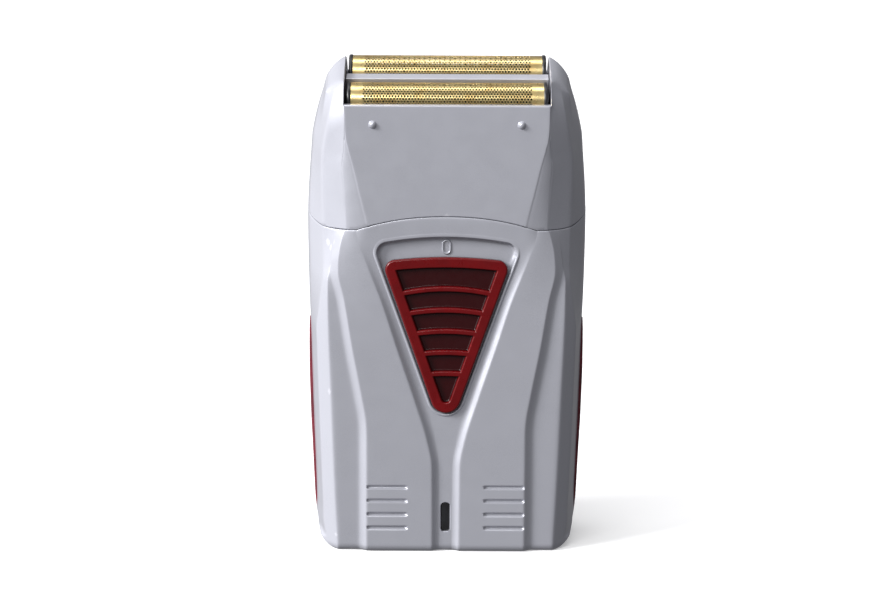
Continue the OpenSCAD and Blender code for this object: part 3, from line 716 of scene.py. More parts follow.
# Outward offset and depth of the bead round the recess, and of the bezel and lens of the light window
BEAD = [(0.85, 0.03), (0.78, -0.08), (0.66, -0.2), (0.52, -0.29), (0.38, -0.3), (0.24, -0.24),
        (0.12, -0.12), (0.03, 0.06), (0.0, 0.34)]
BEZEL = [(0.3, -0.005), (0.2, 0.0), (0.1, 0.04), (0.03, 0.12), (0.0, 0.24), (0.0, 0.9), (0.25, 0.9),
         (0.25, 0.2)]
LENS = [(-0.02, 1.2), (-0.02, 0.5), (-0.05, 0.34), (-0.12, 0.25), (-0.25, 0.2), (-0.42, 0.17)]


def bead_y(z, deep):
    # A proud bead fades out towards the top of the recess.
    return channel_y(z) + (deep * (1 - 0.95 * smooth((z - 67) / 4)) if deep < 0 else deep)


def shell_rows(place, columns, even, rising):
    """Heights of a shell's rows: its rounded foot, the even heights, then up to the seam."""
    foot = 6 * (1 - np.cos(np.radians(np.linspace(0, 75, 22))))
    heights = np.concatenate([foot, *even])
    top = settle(place, np.full(columns, heights[-1]), spread(rising)[1:])
    top[-1] -= LIP
    return np.vstack([np.repeat(heights[:, None], columns, 1), top])


def make_front_shell():
    columns = []
    for k, (cells, ease) in enumerate([(24, 0), (8, 0.3), (48, 0.35), (9, 0.5), (9, 0.5), (11, 0.6),
                                       (9, 0.6), (6, 0.4)]):
        columns += [(k, t) for t in spread(cells, ease)[:-1]]
    columns.append((7, 1.0))
    stretch = np.array([c[0] for c in columns])
    part = np.array([c[1] for c in columns])

    def place(z):
        return casing_front(z, stretch, part)

    z = shell_rows(place, len(columns), [np.arange(4.6, 16.7, 0.15), np.arange(16.9, 66.1, 0.6)], 18)
    x, y = place(z)
    soften(x, y, 3)
    skin = stack(x, y + vent_depth(x, z), z)
    floor = [skin[0] * [1, 1 - t, 1] for t in (1, 0.8, 0.6, 0.4, 0.2)]
    edge = lip(skin[-1])
    grid = both_halves(np.concatenate([np.array(floor), skin, edge]))
    keep = np.minimum(distance(grid[..., [0, 2]], RECESS) - 0.40,
                      oval_distance(grid[..., 0], grid[..., 2], LED_Z, LED_R, LED_STRAIGHT) - 0.24)
    keep[:len(floor)] = keep[-len(edge):] = 1.0
    piece("front_shell_skin", Shape().trimmed(grid, keep), "casing", "silver_paint", sharp=50,
          solid=0.7, turn=True, recalc=False, replaces=["front_shell"])

    rim = Shape()
    rim.loft(*[ring_at(RECESS, out, lambda z, d=deep: bead_y(z, d)) for out, deep in BEAD],
             ring_at(RECESS, 0.0, PLATE_Y - 0.02), ring_at(RECESS, 0.0, PLATE_Y + 0.3),
             ring_at(RECESS, 0.5, PLATE_Y + 0.3), ring_at(RECESS, 0.5, lambda z: bead_y(z, 0.25)))
    piece("recess_rim", rim, "casing", "silver_paint", sharp=50)

    high, low = LED_Z + LED_STRAIGHT / 2 + LED_R, LED_Z - LED_STRAIGHT / 2 - LED_R
    led = rounded_section([(LED_R, low), (LED_R, high), (-LED_R, high), (-LED_R, low)], LED_CORNER, 9)
    bezel, lens = [[ring_at(led, out, LED_FLOOR + deep) for out, deep in rows] for rows in (BEZEL, LENS)]
    piece("led_bezel", Shape().loft(*bezel), "casing", "silver_paint", sharp=60)
    piece("led_window", Shape().capped(*lens), "casing", "smoked_lens", sharp=70, turn=True,
          replaces=["led_lens"])


SCREW_PLACES = [(20, 12), (24.5, 66)]
SCREW_HOLE_R = 2.75
INLET_Y, INLET_R = 4.6, 3.3
FLOOR_ROWS = 21


def make_back_shell():
    angles = np.concatenate([np.zeros(8), even_angles(84)])
    straight = np.concatenate([np.linspace(0, 5, 8, endpoint=False), np.full(85, 5.0)])

    def place(z):
        x, y = round_back(z, np.broadcast_to(angles, z.shape))
        return x, np.where(np.broadcast_to(straight, z.shape) < 5, straight, y)

    z = shell_rows(place, len(angles), [np.arange(5.0, 60.1, 0.7)], 40)
    skin = stack(*place(z), z)
    floor = np.array([skin[0] * [1, 1 - t, 1] for t in np.linspace(1, 0, FLOOR_ROWS + 1)[:-1]])
    half = np.concatenate([floor, skin, lip(skin[-1])])[:, ::-1]
    grid = both_halves(half)
    keep = np.ones(grid.shape[:2])
    # A hole for the charging inlet, none of the floor's slivers beside its corners, and screw holes
    keep[:FLOOR_ROWS] = np.hypot(grid[:FLOOR_ROWS, :, 0], grid[:FLOOR_ROWS, :, 1] - INLET_Y) - INLET_R
    low = keep[:FLOOR_ROWS + 1]
    low[abs(grid[:FLOOR_ROWS + 1, :, 0]) > CORNER_X - 0.001] = -0.05
    on_floor = np.arange(len(grid))[:, None] <= FLOOR_ROWS
    for sx, sz in SCREW_PLACES:
        gap = np.hypot(abs(grid[..., 0]) - sx, grid[..., 2] - sz) - SCREW_HOLE_R
        gap = np.where(on_floor, 9, gap)
        keep = np.where(grid[..., 1] > 8, np.minimum(keep, gap), keep)
    piece("back_shell_skin", Shape().trimmed(grid, keep), "casing", "silver_paint", sharp=50,
          solid=0.7, turn=True, recalc=False, replaces=["back_shell"])

    wells = Shape()
    a = around(40)
    quarter = np.linspace(math.pi / 2, 0, 400)
    for sx, sz in SCREW_PLACES:
        back_x = round_back(np.full(400, sz), quarter)[0]
        for sign in (1, -1):
            rings = []
            for r, deep in ((2.82, -0.006), (2.7, 0.0), (2.58, 0.05), (2.5, 0.16), (2.48, 0.3)):
                px, pz = sx + r * np.cos(a), sz + r * np.sin(a)
                back_y = round_back(pz, np.interp(px, back_x, quarter))[1]
                rings.append(stack(sign * px, back_y - deep, pz))
            for r, y in ((2.45, 10.9), (2.3, 10.75), (1.2, 10.75)):
                rings.append(stack(sign * (sx + r * np.cos(a)), y, sz + r * np.sin(a)))
            wells.loft(*rings)
    piece("screw_wells", wells, "casing", "silver_paint", sharp=50)


GRIP_LOW, GRIP_HIGH, GRIP_FRONT = 5.7, 52.5, 0.5
GRIP_GROOVES = (2.9, 4.5, 6.1)


def make_grips():
    outer = curve((5.6, 30.4), (7, 30.55), (9, 30.75), (12.6, 30.95), (18.5, 31.2), (23, 31.4), (28, 31.65),
                  (33, 31.8), (42.4, 32.0), (50, 31.95), (52.6, 31.85))
    rows, cells = 150, 26
    t = (1 - np.cos(np.linspace(0, math.pi, rows))) / 2
    z = GRIP_LOW + (GRIP_HIGH - GRIP_LOW) * t
    wide = np.maximum(8 * np.sin(math.pi * t) ** 0.6, 0.3)
    y = GRIP_FRONT + wide[:, None] * spread(cells, 0.6)
    pocket_shade = np.minimum(y - GRIP_FRONT, GRIP_FRONT + wide[:, None] - y)
    pocket_shade = np.minimum(pocket_shade, np.minimum(z - GRIP_LOW, GRIP_HIGH - z)[:, None] * 1.2)
    theta = np.arcsin(np.clip((y - SIDE_BACK) / BACK_DEPTH, 0, 1) ** 1.25)
    plan = np.cos(theta) ** 0.7
    shell = side_x(z)[:, None] * plan
    full = outer(z)[:, None] * plan
    round_edge = np.sqrt(np.clip(1 - (1 - np.clip(pocket_shade / 0.45, 0, 1)) ** 2, 0, 1))
    groove = sum(0.12 * smooth(1 - abs(y - g) / 0.3) * smooth((pocket_shade - 0.9) / 0.6) for g in GRIP_GROOVES)
    x = shell - 0.1 + (full - shell + 0.1) * round_edge - groove
    top = stack(x, y, np.repeat(z[:, None], cells + 1, 1))
    under = top.copy()
    under[..., 0] = shell - 0.6
    rims = [np.concatenate([g[0], g[1:-1, -1], g[-1, ::-1], g[-2:0:-1, 0]]) for g in (top, under)]
    for sign, name in ((1, "right_grip"), (-1, "left_grip")):
        shape = Shape().grid(top).loft(*rims).grid(under)
        shape.verts = [[sign * a, b, c] for a, b, c in shape.verts]
        piece(name + "_pad", shape, "casing", "wine_grip", sharp=60, turn=True, replaces=[name])


# ---- Switch ----

SLOT_HALF_W, SLOT_Z, SLOT_HALF_H = 1.9, 55.7, 6
PLATE_COVE = 1.0
OFF_R, OFF_STRAIGHT, OFF_Z = 0.85, 1.3, 70.6
OFF_BEAD, OFF_HEIGHT = 0.25, 0.32
RIB_TOP, RIB_PITCH, RIB_HALF, RIB_BOW, RIB_DEEP = 61.2, 4.85, 0.38, 0.011, 0.95
SLIDER_EDGE = 0.5


def make_plate():
    x = np.linspace(-16.4, 16.4, 165)
    z = np.concatenate([np.linspace(31.8, 64.6, 90), np.linspace(64.8, 73.8, 56)])
    grid = stack(x[None, :], PLATE_Y, z[:, None])
    inside = -distance(grid[..., [0, 2]], RECESS)
    reach = np.clip(PLATE_COVE - inside, 0, 0.93 * PLATE_COVE)
    rise = PLATE_COVE - np.sqrt(PLATE_COVE**2 - reach**2)
    grid[..., 1] -= rise * smooth((grid[..., 2] - 65.5) / 3)
    slot = np.maximum(abs(grid[..., 0]) - SLOT_HALF_W, abs(grid[..., 2] - SLOT_Z) - SLOT_HALF_H)
    keep = np.minimum(inside + 0.12, slot)
    piece("switch_plate_face", Shape().trimmed(grid, keep), "casing", "silver_paint", sharp=50,
          replaces=["switch_plate"])
    path = oval(OFF_R, OFF_STRAIGHT, OFF_Z, 56)
    rings = [ring_at(path, OFF_BEAD * math.cos(a), PLATE_Y + 0.01 - OFF_HEIGHT * math.sin(a))
             for a in np.linspace(0, math.pi, 9)]
    rings.append(ring_at(path, 0.0, PLATE_Y + 0.05))
    piece("off_mark", Shape().loft(*rings, rings[0]), "casing", "silver_paint")


def make_slider():
    x = np.linspace(-13.9, 13.9, 226)
    rows = np.arange(32.4, 71, 0.12)
    gx, level = np.meshgrid(x, rows)
    gz = level - RIB_BOW * gx**2
    inside = -distance(np.stack([gx, gz], -1), SLIDER)
    rib = np.min([abs(level - (RIB_TOP - RIB_PITCH * i)) for i in range(5)], 0) - RIB_HALF
    pocket = smooth(np.minimum(inside - 2.2, rib) / 0.5)
    shape = Shape().trimmed(stack(gx, SLIDER_FRONT + RIB_DEEP * pocket, gz), inside - SLIDER_EDGE)
    rings = [ring_at(SLIDER, -0.56, SLIDER_FRONT + 0.003)]
    for a in np.radians(np.linspace(0, 90, 8)):
        rings.append(ring_at(SLIDER, -SLIDER_EDGE * (1 - math.sin(a)),
                             SLIDER_FRONT + SLIDER_EDGE * (1 - math.cos(a))))
    rings += [ring_at(SLIDER, 0, SLIDER_BACK - 0.1), ring_at(SLIDER, -0.1, SLIDER_BACK),
              ring_at(SLIDER, -1.5, SLIDER_BACK)]
    shape.loft(*rings, cap_last=True)
    piece("slider_pad", shape, "switch_slide", "red_plastic", sharp=60, recalc=False,
          replaces=["power_slider"])


# ---- Head ----

panel_x = curve((74, 17.4), (76, 17.8), (83.6, 19.7), (89.3, 21.1), (92, 21.9), (95.3, 22.6), (102, 22.85))
cheek_x = curve((74, 22.6), (76, 22.65), (83.6, 23.1), (89.3, 23.5), (92.2, 23.15), (95.3, 22.8),
                (102, 22.95))
cheek_y = curve((74, -14.3), (76, -14.3), (90, -14.5), (95.3, -15.2), (102, -15.3))
flank_x = curve((74, 28.1), (76, 28.1), (86.5, 28.3), (89.3, 28.3), (96.7, 27.2), (102, 26.2))
flank_y = curve((74, -10.6), (76, -10.6), (89, -10.7), (97, -12.2), (102, -13.1))


def head_outer(z, stretch, part):
    """Points on the right half of the head: 0 panel, 1 roll-off, 2 cheek, 3 flank, 4 and 5 side,
    6 the round back, whose part is an angle over 90 degrees."""
    s = side_x(z)
    middle = np.zeros_like(z)
    front = middle + FRONT_Y
    xs = np.stack([middle, panel_x(z), cheek_x(z), flank_x(z), s - 0.5, s, s])
    ys = np.stack([front, front, cheek_y(z), flank_y(z), middle + SIDE_FRONT, middle, middle + SIDE_BACK])
    facet = np.minimum(np.broadcast_to(stretch, z.shape), 5)
    x0, x1, y0, y1 = facet_ends(xs, ys, facet[None])
    t = np.broadcast_to(part, z.shape)
    roll = np.clip(t, 0, 1) ** 1.6
    x = x0 + (x1 - x0) * t
    y = y0 + (y1 - y0) * np.where(facet == 1, roll, t)
    bx, by = round_back(z, t * math.pi / 2)
    back = np.broadcast_to(stretch, z.shape) == 6
    return np.where(back, bx, x), np.where(back, by, y)


# For each place along the rim: the cells that lead up to it, the facet and the part of it, the height
# where the outer skin turns towards the rim, the outer and inner top edge, how softly it turns, how
# much the top is crowned, and where the inside meets the shelf.
REAR = 47 / 90
RIM = [
    # cells, facet, part, skin top, outer edge, inner edge, bend, crown, shelf x, shelf v
    (0, 0, 0, 102.15, (0, -15.32, 102.42), (0, -13.93, 102.65), 0.15, 0, 0, -10.45),
    (30, 0, 1, 102.15, (22.9, -15.32, 102.42), (22.9, -13.93, 102.65), 0.15, 0, 19.3, -10.45),
    (16, 1, 1, 102.1, (23.18, -15.3, 102.4), (23.15, -13.93, 102.7), 0.25, 0, 19.6, -10.45),
    (1, 1, 1, 101.6, (23.2, -11.5, 107.4), (23.15, -11.4, 107.45), 3.5, 0, 19.6, -10.4),
    (10, 2, 1, 101, (25.38, -10.13, 106.1), (23.15, -9.1, 108.4), 5, 0.3, 19.6, -8.3),
    (7, 3, 0.5, 100, (27.4, -9, 105), (23.15, -7, 109.3), 5, 0.5, 19.6, -5),
    (8, 3, 1, 100.5, (27.6, -2.5, 108.2), (23.15, -0.5, 112.6), 5, 0.65, 19.6, 0),
    (5, 4, 1, 100.5, (27.51, 0, 108.25), (23.15, 1.2, 112.55), 5, 0.65, 19.6, 2.5),
    (6, 5, 1, 100, (27.1, 5, 107.8), (23.15, 5, 111.3), 5, 0.55, 19.6, 5.5),
    (12, 6, 22 / 90, 100, (26.6, 8.5, 106.9), (23.15, 7, 110), 5, 0.4, 19.6, 8.5),
    (12, 6, REAR, 104, (23.15, 10.2, 108.4), (23.15, 8.42, 109.27), 4, 0.1, 19.6, 10.1),
    (1, 6, REAR, 104, (23.1, 10.2, 108.4), (23.1, 8.42, 109.27), 4, 0, 19.6, 10.1),
    (28, 6, 1, 104, (0, 10.2, 108.4), (0, 8.42, 109.27), 4, 0, 0, 10.1),
]


def rim_stations():
    """The rim table filled in between its lines."""
    rows = []
    for a, b in zip(RIM, RIM[1:]):
        ease = 0.75 if b[0] == 16 else (0.4 if b[0] > 1 else 0)
        for t in spread(b[0], ease)[(0 if a is RIM[0] else 1):]:
            facet, part = b[1], b[2]
            first = a[2] if a[1] == b[1] else 0
            if b[0] == 1:
                first = b[2]
            value = [facet, first + (part - first) * t, a[3] + (b[3] - a[3]) * t]
            value += [p + (q - p) * t for p, q in zip(a[4] + a[5], b[4] + b[5])]
            value += [p + (q - p) * t for p, q in zip(a[6:], b[6:])]
            rows.append(value)
    return np.array(rows)


def rounded_path(corners, radii, counts):
    """Polylines through corners, one per column, with each corner rounded by its radius.
    corners is (corner, column, xyz); counts gives the points laid on each straight run."""
    out = [corners[0]]
    for i in range(1, len(corners) - 1):
        p, c, q = corners[i - 1], corners[i], corners[i + 1]
        la = np.linalg.norm(p - c, axis=1)[:, None]
        lb = np.linalg.norm(q - c, axis=1)[:, None]
        r = np.minimum(radii[i], 0.45 * np.minimum(la, lb))
        a = c + (p - c) * r / np.maximum(la, 1e-9)
        b = c + (q - c) * r / np.maximum(lb, 1e-9)
        start = out[-1]
        for t in np.linspace(0, 1, counts[i - 1] + 2)[1:-1]:
            out.append(start + (a - start) * t)
        if radii[i] == 0:
            out.append(c)
            continue
        for t in (0, 0.2, 0.4, 0.6, 0.8, 1):
            out.append(bend_over(a, c, b, t))
    start, end = out[-1], corners[-1]
    for t in np.linspace(0, 1, counts[-1] + 2)[1:]:
        out.append(start + (end - start) * t)
    return np.array(out)


SHELF_W, SHELF_UNDER = -13.0, -14.6
OPENING_X = 22.8
FRONT_COLUMNS = 82  # columns from the middle up to the round back
TOP_ROWS = np.arange(9, 17)  # rows of the rounded path that lie on the crowned top
NUB_X, NUB_Z, NUB_R = 16.6, 98.1, 0.8
BAR_HALF, BAR_X, BAR_FOOT = 1.2, 22.85, -2.4


def make_head():
    rows = rim_stations()
    facet, part, skin_top = rows[:, 0].astype(int), rows[:, 1], rows[:, 2]
    outer, inner = rows[:, 3:6], rows[:, 6:9]
    bend, crown, shelf_x, shelf_v = rows[:, 9], rows[:, 10], rows[:, 11], rows[:, 12]
    count = len(rows)

    def place(z):
        return head_outer(z, facet, part)

    low = settle(place, np.full(count, 70.0), [1.0], SEAM_GAP)[0]
    skin_end = skin_top - bend
    z = low + 0.15 + (skin_end - low - 0.15) * spread(40)[:, None]
    x, y = place(z)
    soften(x[:, :FRONT_COLUMNS], y[:, :FRONT_COLUMNS], 2)
    y = y + np.where(facet == 1, 0.09 * smooth(part / 0.08) * smooth((1 - part) / 0.7), 0)
    skin = stack(x, y, z)
    base = stack(*place(low), low)
    chamfer = inset_line(base, 0.15)
    foot = inset_line(base, WALL)
    # The line from the skin to the outer edge, bulging a little to the side
    turn = stack(*place(skin_top), skin_top)
    ahead = np.linalg.norm(outer - turn, axis=1)
    after = turn + (outer - turn) * (np.minimum(bend, 0.6 * ahead) / ahead)[:, None]
    t = spread(12)[1:, None, None]
    slope = bend_over(skin[-1], turn, after, t)
    is_back = (facet == 6) & (outer[:, 1] > 10.19) & (abs(inner[:, 0]) <= 22.81)
    shelf = on_head(np.where(is_back | (shelf_v < -10.42), inner[:, 0], OPENING_X), shelf_v, SHELF_W)
    rim = np.where(is_back[:, None], on_head(inner[:, 0], 10.45, -4.6), inner * 0.5 + shelf * 0.5)
    opening = on_head(shelf_x, np.clip(shelf_v, -10.4, 10.1), SHELF_W)
    under = on_head(shelf_x, np.clip(shelf_v, -10.4, 10.1), SHELF_UNDER)
    room_z = HEAD_Z + (SHELF_UNDER + (foot[:, 1] - HEAD_Y) * math.sin(SLANT)) / math.cos(SLANT)
    room = foot.copy()
    room[:, 2] = np.maximum(room_z, foot[:, 2] + 0.2)
    corners = np.array([slope[-1], outer, inner, rim, shelf, opening, under, room])
    path = rounded_path(corners, [0, 0.35, 0.16, 0, 0.15, 0.1, 0, 0], [3, 6, 2, 2, 2, 0, 2])
    along = (TOP_ROWS - 8.5) / 8
    swell = (4 * along * (1 - along))[:, None] * crown
    path[TOP_ROWS, :, 2] += swell
    path[TOP_ROWS, :, 0] += swell * 0.35

    wall = np.array([room + (foot - room) * t for t in (0.33, 0.66)])
    half = np.concatenate([[foot, chamfer], skin, slope[:-1], path, wall])
    grid = both_halves(half)
    shape = Shape()
    shape.grid(grid, wrap_rows=True)
    # The bar between the two foils
    shape.beam([(-BAR_HALF, BAR_FOOT), (-BAR_HALF, 1), (BAR_HALF, 1), (BAR_HALF, BAR_FOOT)], 0.22,
               np.linspace(-BAR_X, BAR_X, 25))
    piece("head_skin", shape, "head", "silver_paint", sharp=42, replaces=["head_frame"])
    nubs = Shape()
    a = around(32)
    rings = [(1.0, -0.03), (0.9, 0.02), (0.82, 0.12)]
    rings += [(NUB_R * math.cos(b), 0.12 + 0.68 * math.sin(b)) for b in np.radians(np.arange(12, 88, 12))]
    for x in (NUB_X, -NUB_X):
        nubs.loft(*[stack(x + r * np.cos(a), FRONT_Y - h, NUB_Z + r * np.sin(a)) for r, h in rings],
                  cap_last=True)
    piece("head_nubs", nubs, "head", "silver_paint")


def rounded_section(points, r, steps=5):
    """A closed outline with its corners rounded."""
    points = np.array(points, float)
    out = []
    for i, c in enumerate(points):
        p, q = points[i - 1], points[(i + 1) % len(points)]
        a = c + (p - c) / np.linalg.norm(p - c) * r
        b = c + (q - c) / np.linalg.norm(q - c) * r
        out += [bend_over(a, c, b, t) for t in np.linspace(0, 1, steps)]
    return np.array(out)


PIN_Y, PIN_HOLE_R = 3.0, 3.1


def make_neck():
    """The black neck that the head slides over, with the slanted deck that carries the flexures."""
    inset, deck_w = 3.0, -19.5
    stretch, part = [], []
    for k, cells in enumerate((14, 6, 8, 6, 4, 4)):
        stretch += [k] * cells
        part += list(np.linspace(0, 1, cells, endpoint=False))
    stretch += [6] * 31
    part += list(even_angles(30) * 2 / math.pi)
    stretch, part = np.array(stretch), np.array(part)
    low = np.full(len(part), 74.0)
    skin = stack(*head_outer(low, stretch, part), low)
    ring = inset_line(skin, inset)

    def limit_y(z):
        return HEAD_Y + (7.3 - (z - HEAD_Z) * math.sin(SLANT)) / math.cos(SLANT)

    def deck_z(y):
        return HEAD_Z + (deck_w + (y - HEAD_Y) * math.sin(SLANT)) / math.cos(SLANT)

    rows = []
    for t in (0, 0.25, 0.5, 0.75, 0.93, 0.98):
        row = ring.copy()
        row[:, 2] = 72 + (deck_z(row[:, 1]) - 72) * t
        row[:, 1] = np.minimum(row[:, 1], limit_y(row[:, 2]))
        rows.append(row)
    a = np.arctan2(ring[:, 1] - PIN_Y, ring[:, 0])
    hole = np.stack([PIN_HOLE_R * np.cos(a), PIN_Y + PIN_HOLE_R * np.sin(a)], 1)
    for t in (0.985, 0.96, 0.8, 0.6, 0.4, 0.2, 0):
        row = ring.copy()
        row[:, 1] = np.minimum(row[:, 1], 10.3)
        row[:, :2] = hole + (row[:, :2] - hole) * t
        row[:, 1] = np.minimum(row[:, 1], 9.0)
        row[:, 2] = deck_z(row[:, 1])
        rows.append(row)
    piece("neck", Shape().grid(both_halves(np.array(rows))), "casing", "black_plastic", sharp=40,
          solid=0.8, turn=True, recalc=False, replaces=["neck_deck"])
    line = both_halves(inset_line(skin, 2.55)[None])[0][:-1]
    t = np.roll(line, -1, 0) - np.roll(line, 1, 0)
    t /= np.linalg.norm(t[:, :2], axis=1)[:, None]
    n = np.stack([t[:, 1], -t[:, 0], 0 * t[:, 0]], 1)
    rings = [line + n * 0.42 * math.cos(b) + np.array([0, 0, 0.55 * math.sin(b) - 0.2])
             for b in np.linspace(0, 2 * math.pi, 13)]
    piece("neck_ring", Shape().loft(*rings), "casing", "black_rubber", replaces=["neck_seal"])


# ---- Foils ----

FOIL_R, ARCH_W, FOIL_HALF = 4.1, -1.8, 21.6
HOLE_PITCH, HOLE_R, HOLE_ROWS = 0.68, 0.25, 22
HOLE_COLUMNS = 56
ROW_STEP = math.pi * FOIL_R / HOLE_ROWS
SKIRT_ROWS, SKIRT_STEP = 4, 2.2
BLOCKS = ((-6, "front"), (6, "rear"))
BLOCK_FOOT = -8.0
CLEAR = 0.05


def arch(u, run, v):
    """A point on a foil: run counts hole rows over the arch, from its front foot to its rear foot;
    beyond either end it goes down the skirt."""
    run = np.asarray(run, float)
    angle = math.pi * np.clip(run / HOLE_ROWS, 0, 1)
    below = np.maximum(-run, 0) + np.maximum(run - HOLE_ROWS, 0)
    return on_head(u, v - FOIL_R * np.cos(angle), ARCH_W + FOIL_R * np.sin(angle) - below * ROW_STEP)


def make_foil(v, where):
    half = HOLE_COLUMNS * HOLE_PITCH / 2
    quarter = HOLE_PITCH / 4
    # Once round a cell, in quarters of its width and halves of its height
    border = [(i, 0) for i in range(5)] + [(4, 1)] + [(i, 2) for i in range(4, -1, -1)] + [(0, 1)]
    points, faces, place = [], [], {}

    def vertex(u, run):
        key = (round(u, 4), round(run, 4))
        if key not in place:
            place[key] = len(points)
            points.append(key)
        return place[key]

    def quads(us, r0, r1):
        for a, b in zip(us, us[1:]):
            faces.append((vertex(a, r0), vertex(b, r0), vertex(b, r1), vertex(a, r1)))

    for row in range(HOLE_ROWS):
        shift = HOLE_PITCH / 2 if row % 2 else 0.0
        for i in range(HOLE_COLUMNS - row % 2):
            u0 = -half + shift + i * HOLE_PITCH
            rim = [vertex(u0 + a * quarter, row + b / 2) for a, b in border]
            hole = []
            for a, b in border:
                du, dr = a * quarter - HOLE_PITCH / 2, (b / 2 - 0.5) * ROW_STEP
                size = HOLE_R / math.hypot(du, dr)
                hole.append(vertex(u0 + HOLE_PITCH / 2 + du * size, row + 0.5 + dr * size / ROW_STEP))
            for k in range(12):
                n = (k + 1) % 12
                faces.append((rim[k], rim[n], hole[n], hole[k]))
        if shift:
            # The half cells at both ends of an offset row
            for side in (-1, 1):
                edge = sorted([side * half, side * (half - shift)])
                for b in (0, 1):
                    quads([edge[0], (edge[0] + edge[1]) / 2, edge[1]], row + b / 2, row + (b + 1) / 2)
    left = [-FOIL_HALF + (FOIL_HALF - half) * t for t in (0, 0.03, 0.5, 1)]
    right = [-u for u in left[::-1]]
    for us in (left, right):
        for r in range(HOLE_ROWS * 2):
            quads(us, r / 2, (r + 1) / 2)
    across = left[:-1] + [-half + quarter * i for i in range(HOLE_COLUMNS * 4 + 1)] + right[1:]
    for foot, way in ((0, -SKIRT_STEP), (HOLE_ROWS, SKIRT_STEP)):
        for d in range(SKIRT_ROWS):
            quads(across, foot + way * d, foot + way * (d + 1))
    uv = np.array(points)
    piece("foil_sheet_" + where, Shape().add(arch(uv[:, 0], uv[:, 1], v), faces), "foil_block_" + where,
          "gold_foil", sharp=60, solid=0.09, turn=True, replaces=["foil_" + where])


def make_holder(v, where):
    """Black end caps and rails that hold one foil."""
    shape = Shape()

    def cap_ring(u, grow):
        a = np.radians(np.linspace(0, 180, 33))
        r = FOIL_R + CLEAR + grow
        foot = BLOCK_FOOT - grow
        top = on_head(u, v + r * np.cos(a), ARCH_W + r * np.sin(a))
        left = on_head(u, v - r, np.linspace(ARCH_W, foot, 8)[1:])
        right = on_head(u, v + r, np.linspace(foot, ARCH_W, 8)[:-1])
        floor = on_head(u, np.linspace(v - r, v + r, 8)[1:-1], foot)
        return np.concatenate([top, left, floor, right])

    for sign in (1, -1):
        profile = [(20.5, -0.5), (20.5, -0.13), (21.58, -0.13), (21.6, 0.0), (21.75, 0.1), (21.95, 0.14),
                   (22.2, 0.12), (22.4, 0.02), (22.5, -0.14), (22.5, -0.6), (22.44, -0.75), (22.44, -2.5)]
        shape.capped(*[cap_ring(sign * u, g) for u, g in profile])
    rail_top = -5.2
    for side in (-1, 1):
        v0 = v + side * (FOIL_R + 0.3)
        low, high = v0 - 0.3, v0 + 0.3
        shape.beam([(low, BLOCK_FOOT), (low, rail_top), (high, rail_top), (high, BLOCK_FOOT)], 0.12,
                   np.linspace(-FOIL_HALF, FOIL_HALF, 17))
    piece("foil_caps_" + where, shape, "foil_block_" + where, "black_plastic", sharp=40,
          replaces=["foil_holder_" + where])


def coil(u, v, w0, w1, coil_r, wire_r, turns, per_turn=24):
    """Round wire spring with a closed last turn at each end."""
    total = int(per_turn * (turns + 1.6))
    t = np.linspace(0, 1, total)
    climb = np.clip((t - 0.12) / 0.76, 0, 1)
    w = w0 + wire_r + (w1 - w0 - 2 * wire_r) * (smooth(climb) * 0.35 + climb * 0.65)
    a = 2 * math.pi * (turns + 1.6) * t
    return on_head(u + coil_r * np.cos(a), v + coil_r * np.sin(a), w)


def blended(name, shape, start, end, slot, replaced=()):
    """A soft piece built where it rests, riding on no body; start and end are not used."""
    made = piece(name, shape, None, slot)
    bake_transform(made)
    if replaced:
        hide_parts(*replaced)


def make_springs():
    for v, where in BLOCKS:
        shape = Shape()
        for side in (-1, 1):
            shape.sweep(coil(side * 21.3, v, -13, -8, 0.95, 0.15, 4), 0.15)
        blended("foil_spring_wires_" + where, shape,
                on_head(0, v, -12.8) * MM, on_head(0, v, -8.2) * MM, "steel",
                ["foil_springs_" + where])
        shape = Shape()
        shape.sweep(coil(0, v, -11.7, -7.6, 1.9, 0.2, 3), 0.2)
        blended("cutter_spring_wire_" + where, shape,
                on_head(0, v, -11.5) * MM, on_head(0, v, -7.8) * MM, "steel",
                ["cutter_spring_" + where])
    for side, name in ((1, "right"), (-1, "left")):
        strip = rounded_section([(16.25, -6), (16.25, 6), (16.75, 6), (16.75, -6)], 0.12)
        shape = Shape().capped(*[on_head(side * strip[:, 0], strip[:, 1], w)
                                 for w in np.linspace(-19.4, -13.2, 15)])
        blended("flexure_leaf_" + name, shape, on_head(side * 16.5, 0, -18.9) * MM,
                on_head(side * 16.5, 0, -13.4) * MM, "white_plastic",
                ["drive_flexures"] if side > 0 else ())
    feet = Shape()
    foot = rounded_section([(12.1, -6), (12.1, 6), (16.5, 6), (16.5, -6)], 0.4)
    middle = 14.3
    for side in (-1, 1):
        rings = []
        for grow, w in ((0.0, -19.5), (0.0, -18.85), (-0.04, -18.75), (-0.14, -18.7)):
            u = side * (middle + (foot[:, 0] - middle) * (1 + grow / 2))
            rings.append(on_head(u, foot[:, 1] * (1 + grow / 6), w))
        feet.capped(*rings)
    piece("flexure_feet", feet, "casing", "white_plastic", sharp=40)


# ---- Build ----

make_front_shell()
make_back_shell()
make_grips()
make_plate()
make_slider()
make_head()
make_neck()
for make_part in (make_foil, make_holder):
    for block_v, block in BLOCKS:
        make_part(block_v, block)
make_springs()

